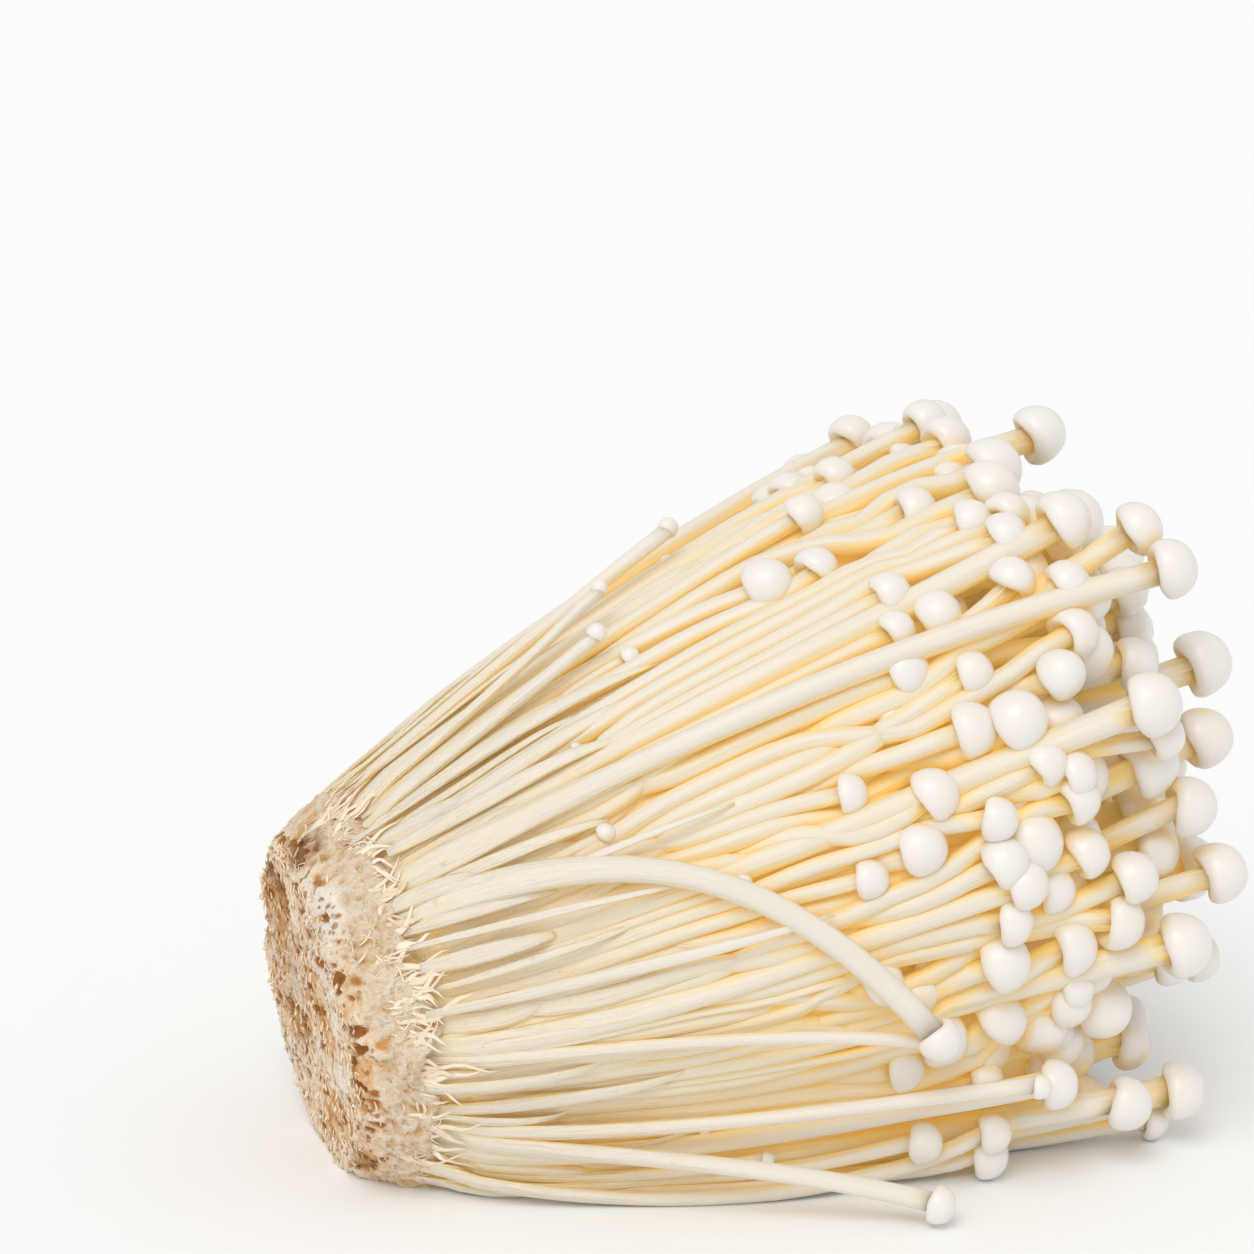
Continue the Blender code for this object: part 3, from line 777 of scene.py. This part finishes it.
# Sizes in mm that the block's noise is stretched to, along, side and up.
PIT_CELLS, SPECK_CELLS = (9.0, 3.9, 2.2), (4.0, 2.0, 1.2)
FIBRE_CELLS, WEB_CELLS, FINE_WEB_CELLS = (2.0, 0.75, 2.4), (3.4, 1.7, 1.7), (1.5, 0.8, 0.8)


def block_piece(material):
    """The root block, carved by noise.

    The cut face has round pits where a random cell's point is near, larger sunken stains and
    fibrous ridges; the wall is a felt of wandering ridges with holes between them.
    """
    along, share = block_base()
    turn = turns(BLOCK_SIDES)
    radius = (share * flare(along))[:, None] + 0 * turn
    ragged = ring_noise(turn, 5, seed=71) + 0.6 * ring_noise(turn, 14, seed=72)
    along = along[:, None] * (1 + 0.24 * ragged * fade(3 * MM, 8 * MM, along)[:, None])
    local = np.stack([along, radius * np.cos(turn), radius * np.sin(turn)], axis=-1) / MM
    on_face = 1 - fade(1.2, 3.4, local[..., 0] + 0.9 * soft_noise(local / 3.1, seed=77))
    on_wall = 1 - on_face
    warp = np.stack([soft_noise(local / 2.6, seed=60 + k) for k in range(3)], axis=-1)
    from_axis = np.hypot(local[..., 1], local[..., 2])
    mapped = local[..., 1:] * ((from_axis + local[..., 0]) / (from_axis + 1e-9))[..., None]
    white = patches(*np.moveaxis(mapped, -1, 0), WHITE_FELT)
    near, number = cell_pits((local + 0.9 * warp) / PIT_CELLS, seed=3)
    pit = (1 - fade(0.24, 0.48, near)) * (number > 0.10 + 0.75 * white)
    near, number = cell_pits((local + 0.6 * warp) / SPECK_CELLS, seed=8)
    speck = (1 - fade(0.14, 0.42, near)) * (number > 0.40 + 0.5 * white)
    stain = patches(*np.moveaxis(mapped + 1.8 * warp[..., 1:], -1, 0), STAINS)
    broken = fade(-0.5, 0.35, rough_noise(local / 1.9, octaves=3, seed=31))
    stain = np.clip(1.3 * stain * (0.45 + 0.55 * broken), 0, 1)
    fibres = ridged((local + 0.5 * warp) / FIBRE_CELLS, octaves=3, seed=5)
    webs = ridged((local + 1.1 * warp) / WEB_CELLS, octaves=3, seed=45)
    fine_webs = ridged((local + 0.6 * warp) / FINE_WEB_CELLS, octaves=2, seed=47)
    lumps = rough_noise(local / 5.5, octaves=3, seed=15)
    sink = on_face * (1.1 * pit + 0.5 * speck + 1.0 * stain)
    heave = on_face * (0.34 * lumps * (1 + 0.9 * stain) + 0.36 * fibres * (1 - 0.4 * white))
    shag = on_wall * (0.40 * lumps + 0.90 * webs + 0.42 * fine_webs - 0.40)
    # Low places on the face and between the wall's webs, browned in the material as painted shade.
    low = on_face * fade(0.30, -0.25, heave - 0.5 * stain)
    low = low + on_wall * fade(0.7, -0.4, webs + 0.5 * fine_webs)
    edge_shag = 0.5 * on_face * fade(0.8, 1, share)[:, None] * fibres
    along = along + (sink - heave + 0.35 * on_wall * webs) * MM
    places = round_axis(along, radius + (shag + edge_shag) * MM, turn)
    piece = tube_piece("root_block_skin", places[None], material, lowest=0.0)
    hollow = on_face * (pit + 0.7 * speck) + on_wall * 0.9 * fade(0.25, -0.40, webs)
    paint_tubes(
        piece,
        (1, *share.shape, BLOCK_SIDES),
        hollow=np.clip(hollow, 0, 1)[None],
        low=(low * (1 - 0.5 * white))[None],
        stain=stain[None],
        wall=on_wall[None],
        ridge=fade(0.0, 0.8, np.where(on_face > 0.5, fibres, webs))[None],
        white=white[None],
    )
    return piece


# --- Strands ---


def strands(name, points, radii, flatness, facing, sides, material):
    """Thin strands along points[strand, row]: rings of the radii, `flatness` times as wide as
    thick and lying flat against `facing`, closed to a point at both ends."""
    growing = unit(np.gradient(points, axis=1))
    across = unit(np.cross(np.broadcast_to(facing, growing.shape), growing))
    thin = radii[..., None]
    through = np.cross(growing, across)
    rings = ellipses(points, turns(sides), flatness * thin, across, thin, through)
    return tube_piece(name, rings, material, lowest=0.05 * MM)


def shade_strands(piece, brown, rows, sides, rng):
    """Brownness and a tone of its own for each strand."""
    tone = rng.uniform(0, 1, len(brown))
    shape = len(brown), rows, sides
    paint_tubes(piece, shape, brown=brown[:, None, None], tone=tone[:, None, None])


def thickness(rng, count, limits, taper):
    """Each strand's radius in each row: a random one within the limits in mm, tapered."""
    return rng.uniform(*limits, count)[:, None] * taper * MM


def wander(start, heading, first, second, away, step, curl, stand, rows, rng):
    """A path of rows steps: its heading turns by its curl and at random, in the skin's two
    directions, while it stands off the skin in an arch of the given height."""
    path, here = [], start
    for row in range(rows):
        lift = stand * math.sin(math.pi * row / (rows - 1))
        path.append(here + lift[:, None] * away)
        heading = heading + curl + rng.normal(0, 0.16, len(heading))
        go = np.cos(heading)[:, None] * first + np.sin(heading)[:, None] * second
        here = here + step[:, None] * go
    return np.stack(path, axis=1)


FLAKE_SEED, TONGUE_SEED, SLIVER_SEED = 43, 8, 67
# Count, then length, radius, flatness and arch in mm, looseness of heading, and seed.
WALL_THREADS = (300, (1.5, 5.0), (0.03, 0.06), 1.6, 0.15, 0.5, 41)
WALL_WEBS = (460, (2.0, 5.5), (0.02, 0.055), 5.0, 0.12, 0.8, 42)
CURL_ROWS, CURL_SIDES = 9, 4


def wall_curls(name, kind, material):
    """Curly threads and webs of mycelium on the block's wall, each a wandering path laid on
    the flare and arched off it, its radius a sine along it."""
    count, size, width, flatness, arch, loose, seed = kind
    rng = np.random.default_rng(seed)
    turn = rng.uniform(0, FULL_TURN, count)
    along = rng.uniform(1.8, 7.6, count) * MM
    start = round_axis(along, 1.01 * flare(along), turn)
    away = outwards(turn)
    round_it = np.cross(np.broadcast_to(AXIS, away.shape), away)
    step = rng.uniform(*size, count) / CURL_ROWS * MM
    curl = rng.normal(0, 0.09, count)
    stand = (0.15 + rng.uniform(0, 1, count) ** 2 * arch) * MM
    heading = rng.normal(0, loose, count)
    path = wander(start, heading, AXIS, round_it, away, step, curl, stand, CURL_ROWS, rng)
    local = path - CUT_CENTRE
    from_axis = local - (local @ AXIS)[..., None] * AXIS
    length = np.linalg.norm(from_axis, axis=-1, keepdims=True)
    rise = np.sin(np.linspace(0, math.pi, CURL_ROWS)) * stand[:, None]
    wanted = flare(np.clip(local @ AXIS, 0, None)) + 0.06 * MM + rise
    path = path + from_axis / length * (wanted[..., None] - length)
    taper = np.sin(np.linspace(0.3, math.pi - 0.12, CURL_ROWS)) ** 0.8
    thick = thickness(rng, count, width, taper)
    piece = strands(name, path, thick, flatness, away[:, None], CURL_SIDES, material)
    shade_strands(piece, 0.5 * rng.uniform(0, 1, count) ** 8, CURL_ROWS, CURL_SIDES, rng)
    return piece


def face_flakes(material):
    """Torn flakes of felt: on the cut face they are short and lie nearly along it, mostly up
    and down, and round its edge they are a little longer and point any way off it."""
    rng = np.random.default_rng(FLAKE_SEED)
    count, rows, sides = 1150, 5, 4
    at_edge = rng.random(count) < 0.55
    share = np.where(at_edge, rng.uniform(0.93, 1.0, count), np.sqrt(rng.random(count)) * 0.97)
    turn = rng.uniform(0, FULL_TURN, count)
    radius = share * CUT_RADIUS
    stained = patches(radius * np.cos(turn) / MM, radius * np.sin(turn) / MM, STAINS)
    past = np.clip((share - 1) * CUT_RADIUS / EDGE_ROUND + 1, 0, 1)
    depth = EDGE_ROUND * (1 - np.sqrt(1 - past**2)) + (0.9 * stained - 0.1) * MM
    start = round_axis(depth, radius, turn)
    size = np.where(at_edge, rng.uniform(0.5, 1.4, count), rng.uniform(0.6, 1.7, count)) * MM
    upward = math.pi / 2 + rng.normal(0, 0.4, count) + math.pi * rng.integers(0, 2, count)
    go = outwards(np.where(at_edge, turn + rng.normal(0, 0.9, count), upward))
    lean = np.where(at_edge, rng.uniform(-0.6, 0.6, count), rng.uniform(0.05, 0.45, count))
    go = unit(go - lean[:, None] * AXIS)
    t = np.linspace(0, 1, rows)[:, None]
    droop = rng.normal(0, 0.25, (count, 1, 1)) * t**2 * np.cross(go, AXIS)[:, None]
    path = start[:, None] + size[:, None, None] * (t * go[:, None] + droop)
    thick = thickness(rng, count, (0.07, 0.15), (1 - t[:, 0] ** 2) ** 0.7 * 0.92 + 0.06)
    facing = unit(-AXIS + 0.3 * go)[:, None]
    piece = strands("cut_face_flakes", path, thick, 2.8, facing, sides, material)
    brown = stained * rng.uniform(0.2, 1.2, count)
    brown = np.clip(brown + 0.45 * rng.random(count) ** 2, 0, 1)
    shade_strands(piece, brown, rows, sides, rng)
    return piece


def wall_tongues(material):
    """Torn tongues of felt from the wall on to the stems: they follow the flare, lift a
    little in the middle, bend to one side, and taper to a point."""
    rng = np.random.default_rng(TONGUE_SEED)
    count, rows, sides = 240, 8, 6
    turn = rng.uniform(0, FULL_TURN, count)[:, None]
    start = rng.uniform(4.0, 8.6, count)
    length = rng.uniform(3.0, 11.0, count) * rng.uniform(0.5, 1, count)
    t = np.linspace(0, 1, rows)
    along = (start[:, None] + length[:, None] * t) * MM
    arch = 0.3 * rng.uniform(0, 1, count)[:, None] ** 2
    lift = 0.1 - 0.2 * (1 - t) ** 2 + arch * np.sin(2.6 * t)
    bend = turn + rng.normal(0, 0.09, count)[:, None] * t**1.5
    bend = bend + 0.012 * np.sin(9 * t + 6 * turn)
    points = round_axis(along, flare(along) + lift * MM, bend)
    thick = thickness(rng, count, (0.05, 0.14), (1 - t) ** 0.75 * 0.95 + 0.04)
    piece = strands("felt_tongues", points, thick, 6.5, outwards(bend), sides, material)
    shade_strands(piece, rng.uniform(0, 0.5, count) ** 2, rows, sides, rng)
    return piece


def stem_slivers(material, crowding):
    """Ribbons of split stem lying on the bundle near the root: each follows the flare, a
    little above or below the stems, drifts a few degrees and sinks in at its far end."""
    rng = np.random.default_rng(SLIVER_SEED)
    count, rows, sides = 80, 18, 8
    turn = rng.uniform(0, FULL_TURN, count)
    start = rng.uniform(5, 13, count)
    length = rng.uniform(18, 52, count) * rng.uniform(0.6, 1, count)
    t = np.linspace(0, 1, rows)
    along = (start[:, None] + length[:, None] * t) * MM
    off = rng.normal(-0.35, 0.45, count)[:, None]
    loose = (rng.uniform(0, 1, count) ** 9)[:, None] * t**2 * 3.5
    wave = 0.3 * np.sin(6 * t + rng.uniform(0, 6, count)[:, None])
    off = off + wave + loose - 2.4 * np.clip(2 * t - 1, 0, 1) ** 3
    bend = turn[:, None] + rng.normal(0, 0.06, count)[:, None] * t
    points = round_axis(along, 0.985 * flare(along) + off * MM, bend, fan_lift(along))
    taper = np.sin(np.linspace(0.45, math.pi - 0.10, rows)) ** 0.6
    thick = thickness(rng, count, (0.16, 0.50), taper)
    piece = strands("stem_slivers", points, thick, 2.8, outwards(bend), sides, material)
    offset = rng.uniform(0, 50, (count, 1, 1))
    shape, along = (count, rows, sides), along[..., None]
    grain = grain_of(turns(sides), thick[..., None], along, offset, 2.6)
    tone = rng.uniform(0, 1, (count, 1, 1))
    paint_tubes(piece, shape, grain=grain, rooty=rootiness(along), tone=tone, head=np.zeros(shape))
    # Crowding, read by the flesh material for its painted shade and painted glow.
    paint(piece, "crowding", crowding.around(*points_of(piece)))
    return piece


# --- Materials ---


class Wire:
    """A value in a node tree. Sums with wires add the maths nodes that work them out."""

    def __init__(self, tree, socket):
        self.tree, self.socket = tree, socket

    def maths(self, operation, one, two):
        return add(self.tree, "Math", {"operation": operation}, i0=one, i1=two)

    def __add__(self, other):
        return self.maths("ADD", self, other)

    def __mul__(self, other):
        return self.maths("MULTIPLY", self, other)

    def __sub__(self, other):
        return self.maths("SUBTRACT", self, other)

    def __rsub__(self, other):
        return self.maths("SUBTRACT", other, self)

    def highest(self, other):
        return self.maths("MAXIMUM", self, other)

    def stretched(self, shape):
        """A place scaled by three numbers."""
        return add(self.tree, "VectorMath", {"operation": "MULTIPLY"}, i0=self, i1=shape)

    def spread(self, low, high, new_low=0.0, new_high=1.0):
        """Its range from low to high, smoothly, as a new range."""
        return add(
            self.tree, "MapRange", {"interpolation_type": "SMOOTHSTEP"},
            Value=self, From_Min=low, From_Max=high, To_Min=new_low, To_Max=new_high,
        )

    def mix(self, one, two):
        """The second colour over the first, by this value."""
        return add(self.tree, "Mix", {"data_type": "RGBA"}, out=2, i0=self, i6=one, i7=two)

    def ramp(self, stops):
        """A colour by this value, from stops of position and colour."""
        result = add(self.tree, "ValToRGB", Fac=self)
        elements = result.socket.node.color_ramp.elements
        while len(elements) < len(stops):
            elements.new(0.5)
        for element, (position, colour) in zip(elements, stops):
            element.position, element.color = position, colour
        return result

    def noise(self, scale, detail, roughness=0.5):
        """Noise on this place."""
        return add(
            self.tree, "TexNoise", Vector=self, Scale=scale, Detail=detail, Roughness=roughness
        )


def plug(tree, node, inputs):
    """Wires linked and constants set, by socket name with _ for a space, or i and its index."""
    for key, value in inputs.items():
        index = int(key[1:]) if key[0] == "i" and key[1:].isdigit() else key.replace("_", " ")
        if isinstance(value, Wire):
            tree.links.new(value.socket, node.inputs[index])
        else:
            node.inputs[index].default_value = value


def add(tree, kind, settings=None, out=0, **inputs):
    """A shader node with its settings and inputs, and a wire from its output."""
    node = tree.nodes.new("ShaderNode" + kind)
    for key, value in (settings or {}).items():
        setattr(node, key, value)
    plug(tree, node, inputs)
    return Wire(tree, node.outputs[out])


def attributes(tree, *names):
    """Numbers painted on the points."""
    return (add(tree, "Attribute", {"attribute_name": name}, "Fac") for name in names)


def streak_group():
    """Fibres in flesh and mycelium: noise on a place stretched along its third number."""
    group = bpy.data.node_groups.new("fibre_streaks", "ShaderNodeTree")
    for name, kind in (("Place", "Vector"), ("Scale", "Float"), ("Stretch", "Float")):
        group.interface.new_socket(name, in_out="INPUT", socket_type="NodeSocket" + kind)
    for name in ("Coarse", "Fine"):
        group.interface.new_socket(name, in_out="OUTPUT", socket_type="NodeSocketFloat")
    given = group.nodes.new("NodeGroupInput")
    place, scale, stretch = (Wire(group, socket) for socket in tuple(given.outputs)[:3])
    place = place.stretched(add(group, "CombineXYZ", X=1.0, Y=1.0, Z=stretch))
    result = group.nodes.new("NodeGroupOutput")
    finer = scale * 3.7
    noises = {"Coarse": place.noise(scale, 3.0, 0.55), "Fine": place.noise(finer, 2.0, 0.6)}
    plug(group, result, noises)
    return group


def streaks(tree, group, place, scale, stretch):
    """The group's coarse and fine noise on a place."""
    coarse = add(tree, "Group", {"node_tree": group}, Place=place, Scale=scale, Stretch=stretch)
    return coarse, Wire(tree, coarse.socket.node.outputs["Fine"])


def new_material(name, subsurface, radius, scale):
    """A material, its node tree and its shader, which lets some light through."""
    material = bpy.data.materials.new(name)
    material.use_nodes = True
    tree = material.node_tree
    shader = tree.nodes["Principled BSDF"]
    through = {"Subsurface Weight": subsurface, "Subsurface Radius": radius}
    plug(tree, shader, {**through, "Subsurface Scale": scale, "Specular IOR Level": 0.42})
    return material, tree, shader


def rgb(red, green, blue):
    return (red, green, blue, 1.0)


# Painted light: a weak glow of their own, standing in for light that has passed through the flesh
# and the felt.
FLESH_GLOW = 0.15
FELT_GLOW = 0.14

# Flesh from the open to deep in the bundle, by crowding, with painted shade that turns it amber
# deep in, and its painted glow there.
FLESH_SHADE_DEPTHS = (
    (0.02, rgb(0.79, 0.76, 0.71)),
    (0.09, rgb(0.82, 0.735, 0.58)),
    (0.17, rgb(0.86, 0.71, 0.45)),
    (0.29, rgb(0.89, 0.68, 0.31)),
    (0.48, rgb(0.87, 0.61, 0.19)),
)
PAINTED_GLOW_DEPTHS = ((0.10, rgb(0.0, 0.0, 0.0)), (0.44, rgb(0.92, 0.66, 0.19)))
# Cap colour in the open, and with painted shade where crowded.
OPEN_CAP, SHADED_CAP = rgb(0.85, 0.82, 0.79), rgb(0.89, 0.77, 0.58)
# A duller tone of the flesh's own, and pale streaks that are a painted sheen.
DULL_FLESH, SHEEN_STREAK_FLESH = rgb(0.88, 0.76, 0.56), rgb(0.83, 0.81, 0.765)
FIBRE_LINE, ROOT_CREAM = rgb(0.93, 0.74, 0.42), rgb(0.82, 0.70, 0.50)
ROOT_SPECK = rgb(0.66, 0.42, 0.18)


def flesh_material(group):
    """Mushroom flesh: white caps, cream stems with long fibres and pale streaks of painted sheen,
    painted amber shade where it is crowded, and a painted glow there.
    """
    material, tree, shader = new_material("mushroom_flesh", 0.15, (1.0, 0.8, 0.55), 0.001)
    place = add(tree, "Attribute", {"attribute_name": "grain"}, "Vector")
    coarse, fine = streaks(tree, group, place, 1.1, 0.05)
    crowding, head, rooty, tone = attributes(tree, "crowding", "head", "rooty", "tone")
    stem_only = 1.0 - head
    # Painted shade: the stems turn amber deeper in the bundle, where shade falls.
    flesh = (crowding + (coarse - 0.5) * 0.12).ramp(FLESH_SHADE_DEPTHS)
    # Painted shade on the caps: yellower where they are crowded.
    colour = head.mix(flesh, crowding.spread(0.08, 0.38).mix(OPEN_CAP, SHADED_CAP))
    colour = (tone * 0.12).mix(colour, DULL_FLESH)
    fibre = fine.spread(0.45, 0.68) * (rooty * 0.40 + 0.26)
    colour = (fibre * stem_only).mix(colour, FIBRE_LINE)
    # Painted sheen: pale streaks along the stems.
    painted_sheen = coarse.spread(0.50, 0.66, 0.0, 0.5) * stem_only
    colour = painted_sheen.mix(colour, SHEEN_STREAK_FLESH)
    colour = (rooty * 0.3).mix(colour, ROOT_CREAM)
    speck = place.noise(0.9, 4.0, 0.7).spread(0.62, 0.72) * rooty
    colour = (speck * 0.5).mix(colour, ROOT_SPECK)
    relief = (coarse + fine * 0.5) * (rooty * 0.9 + 0.3) * stem_only
    plug(tree, shader, {
        "Base Color": colour,
        "Roughness": coarse.spread(0.3, 0.7, 0.34, 0.50),
        "Coat Weight": head * 0.4,
        "Coat Roughness": 0.22,
        # Painted light: a warm glow deep in the bundle, weaker on the caps.
        "Emission Color": (crowding * (1.0 - head * 0.6)).ramp(PAINTED_GLOW_DEPTHS),
        "Emission Strength": FLESH_GLOW,
        "Normal": add(tree, "Bump", Height=relief, Strength=0.8, Distance=0.0006),
    })
    return material


def holes(place, scale, shape, width):
    """Small holes round half of a Voronoi pattern's points: 1 within half the width, fading
    to 0 at the width, on places scaled by the three numbers of the shape."""
    near = add(place.tree, "TexVoronoi", Vector=place.stretched(shape), Scale=scale)
    chosen = Wire(place.tree, near.socket.node.outputs["Color"]).spread(0.47, 0.53)
    return near.spread(width, width / 2) * chosen


CREAM_FELT, TAN_FELT, WALL_FELT = (
    rgb(0.97, 0.83, 0.65), rgb(0.88, 0.57, 0.28), rgb(0.79, 0.60, 0.38)
)
RAISED_FELT, WHOLE_FELT = rgb(0.95, 0.88, 0.79), rgb(0.96, 0.91, 0.84)
FACE_PIT, WALL_PIT = rgb(0.44, 0.16, 0.03), rgb(0.68, 0.38, 0.13)
# Browns for the low places, painted shade on the face and on the wall.
FACE_DIP_SHADE, WALL_DIP_SHADE = rgb(0.76, 0.43, 0.16), rgb(0.60, 0.36, 0.15)
FIBRE_GAP, STAIN_BROWN = rgb(0.66, 0.41, 0.17), rgb(0.23, 0.09, 0.02)
DEEP_PIT, HOLE_BROWN = rgb(0.28, 0.10, 0.02), rgb(0.38, 0.15, 0.03)
# Painted light: the felt's weak glow, warmer in the low places and pits, darker in stains.
FELT_LIGHT, PIT_LIGHT, STAIN_LIGHT = (
    rgb(0.40, 0.26, 0.14), rgb(0.70, 0.31, 0.08), rgb(0.30, 0.12, 0.03)
)


def block_material():
    """Mycelium over growing medium: cream felt, orange-brown in the pits, dark in stains, with
    painted shade in its low places and a weak painted glow.
    """
    material, tree, shader = new_material("root_mycelium", 0.10, (1.0, 0.6, 0.35), 0.0012)
    place = add(tree, "TexCoord", out="Object")
    hollow, stain, wall, ridge, low, white = attributes(
        tree, "hollow", "stain", "wall", "ridge", "low", "white"
    )
    mottled = place.noise(420.0, 5.0, 0.65)
    upright, lengthwise = (
        place.stretched(drawn).noise(1500.0, 4.0, 0.7)
        for drawn in ((1.0, 1.0, 0.3), (0.3, 1.0, 1.0))
    )
    felted = wall.mix(upright, lengthwise)
    face = 1.0 - wall
    colour = mottled.spread(0.50, 0.72).mix(CREAM_FELT, TAN_FELT)
    colour = (wall * 0.8).mix(colour, WALL_FELT)
    colour = (ridge * 0.55).mix(colour, RAISED_FELT)
    # Painted shade: browner in the low places.
    colour = (low * 0.85).mix(colour, wall.mix(FACE_DIP_SHADE, WALL_DIP_SHADE))
    gaps = felted.spread(0.50, 0.36, 0.0, 0.55) * (1.0 - white)
    colour = gaps.mix(colour, FIBRE_GAP)
    colour = (white * 0.75).mix(colour, WHOLE_FELT)
    colour = hollow.spread(0.10, 0.65).mix(colour, wall.mix(FACE_PIT, WALL_PIT))
    colour = (stain * mottled.spread(0.35, 0.62, 0.8, 1.0)).mix(colour, STAIN_BROWN)
    deep = hollow * felted.spread(0.42, 0.60) * face
    colour = (deep * 0.7).mix(colour, DEEP_PIT)
    dashes = holes(place, 420.0, (1.0, 2.0, 0.9), 0.30)
    dots = holes(place, 900.0, (1.0, 1.5, 0.9), 0.32)
    punched = dashes.highest(dots) * (1.0 - wall * 0.8)
    relief = mottled + felted - punched * 0.5
    plug(tree, shader, {
        "Base Color": (punched * 0.85).mix(colour, HOLE_BROWN),
        "Roughness": 0.80,
        # Painted light: a weak warm glow that lifts the felt's shade.
        "Emission Color": stain.mix(low.highest(hollow).mix(FELT_LIGHT, PIT_LIGHT), STAIN_LIGHT),
        "Emission Strength": FELT_GLOW,
        "Normal": add(tree, "Bump", Height=relief, Strength=1.0, Distance=0.0009),
    })
    return material


PALE_THREAD, TONED_THREAD, MOTTLED_THREAD, BROWN_THREAD = (
    rgb(0.89, 0.82, 0.70), rgb(0.82, 0.67, 0.44), rgb(0.84, 0.64, 0.40), rgb(0.46, 0.22, 0.07)
)
# Painted light: the threads' weak warm glow, darker where they are brown.
THREAD_LIGHT, BROWN_LIGHT = rgb(0.72, 0.48, 0.22), rgb(0.40, 0.18, 0.05)


def fibre_material():
    """Threads and shreds: white mycelium, some of it stained brown by the medium, with a weak
    painted glow.
    """
    material, tree, shader = new_material("mycelium_threads", 0.1, (1.0, 0.7, 0.45), 0.0012)
    brown, tone = attributes(tree, "brown", "tone")
    mottled = add(tree, "TexCoord", out="Object").noise(700.0, 3.0)
    colour = (tone * 0.6).mix(PALE_THREAD, TONED_THREAD)
    colour = mottled.spread(0.5, 0.8, 0.0, 0.25).mix(colour, MOTTLED_THREAD)
    plug(tree, shader, {
        "Base Color": brown.mix(colour, BROWN_THREAD),
        "Roughness": 0.7,
        # Painted light: a weak warm glow on the threads.
        "Emission Color": brown.mix(THREAD_LIGHT, BROWN_LIGHT),
        "Emission Strength": FELT_GLOW,
        "Normal": add(tree, "Bump", Height=mottled, Strength=0.4, Distance=0.0002),
    })
    return material


# --- Stage ---

VIEW_FROM = (-21, 14)
VIEW_DISTANCE = 0.41
VIEW_CENTRE = np.array([0.047, 0.0, 0.071]) + CUT_CENTRE - [0, 0, CUT_HEIGHT]
LENS, SENSOR = 85, 36
FLOOR_HALF = 30.0
# Way, spread in degrees, power and colour.
LAMPS = {
    "top_lamp": ((0.45, 0.55, -1.0), 36, 1.0, (1.0, 0.99, 0.97)),
    "front_lamp": ((0.75, 0.75, -0.5), 70, 0.20, (1.0, 0.985, 0.96)),
}


def placed(name, data):
    """An object for the data, in the scene."""
    obj = bpy.data.objects.new(name, data)
    bpy.context.scene.collection.objects.link(obj)
    return obj


def set_camera():
    """Looks at the view's centre from its bearing and height, through an 85 mm lens."""
    turn, rise = (math.radians(a) for a in VIEW_FROM)
    level = math.cos(rise)
    back = Vector((math.sin(turn) * level, -math.cos(turn) * level, math.sin(rise)))
    lens = bpy.data.cameras.new("camera")
    lens.lens, lens.sensor_width = LENS, SENSOR
    camera = placed("camera", lens)
    camera.location = Vector(VIEW_CENTRE) + back * VIEW_DISTANCE
    camera.rotation_euler = back.to_track_quat("Z", "Y").to_euler()
    bpy.context.scene.camera = camera


def set_stage():
    """A white floor under a white sky, a broad lamp from above the left, a weak one in front."""
    scene = bpy.context.scene
    scene.view_settings.view_transform = "Standard"
    scene.world = bpy.data.worlds.new("studio")
    scene.world.use_nodes = True
    tree = scene.world.node_tree
    plug(tree, tree.nodes["Background"], {"Color": rgb(1.0, 0.985, 0.955), "Strength": 0.73})
    paper = bpy.data.materials.new("white_floor")
    paper.use_nodes = True
    tree = paper.node_tree
    looks = {"Base Color": rgb(0.955, 0.975, 1.0), "Roughness": 0.9, "Specular IOR Level": 0.2}
    plug(tree, tree.nodes["Principled BSDF"], looks)
    corners = FLOOR_HALF * np.array([[-1, -1, 0], [1, -1, 0], [1, 1, 0], [-1, 1, 0]])
    floor = mesh_piece("floor", corners, np.array([[0, 1, 2, 3]]), np.empty((0, 3), int), paper)
    for name, (towards, spread_angle, power, colour) in LAMPS.items():
        lamp = bpy.data.lights.new(name, "SUN")
        lamp.angle, lamp.energy, lamp.color = math.radians(spread_angle), power, colour
        facing = (-Vector(towards)).to_track_quat("Z", "Y")
        placed(name, lamp).rotation_euler = facing.to_euler()


# --- Putting it together ---


def main():
    set_camera()
    set_stage()
    bunch = grow()
    routes, share, *sizes = bunch
    crowding = crowding_of(routes, *sizes)
    flesh, block, threads = flesh_material(streak_group()), block_material(), fibre_material()
    mains = np.arange(len(share)) < COUNT + len(STRAGGLERS)
    rim = (share > RIM_SHARE) & ~mains
    halfway = routes[:, PLANES // 2, 0]
    near = halfway < np.median(halfway[rim])
    groups = (
        ("main_mushrooms", mains, RIM_ROWS, RIM_SIDES),
        ("rim_mushrooms_near", rim & near, RIM_ROWS, RIM_SIDES),
        ("rim_mushrooms_far", rim & ~near, RIM_ROWS, RIM_SIDES),
        ("middle_mushrooms", ~rim & ~mains, MIDDLE_ROWS, MIDDLE_SIDES),
    )
    growths = [
        mushrooms_piece(name, chosen, bunch, rows, sides, flesh, crowding, seed)
        for seed, (name, chosen, rows, sides) in enumerate(groups)
    ]
    for piece in (*growths, core_piece(flesh, crowding), stem_slivers(flesh, crowding)):
        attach(piece, "root")
        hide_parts("mushrooms")
    for piece in (
        block_piece(block),
        wall_curls("wall_threads", WALL_THREADS, threads),
        wall_curls("wall_webs", WALL_WEBS, threads),
        face_flakes(threads),
        wall_tongues(threads),
    ):
        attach(piece, "root")
        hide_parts("root_block")


main()
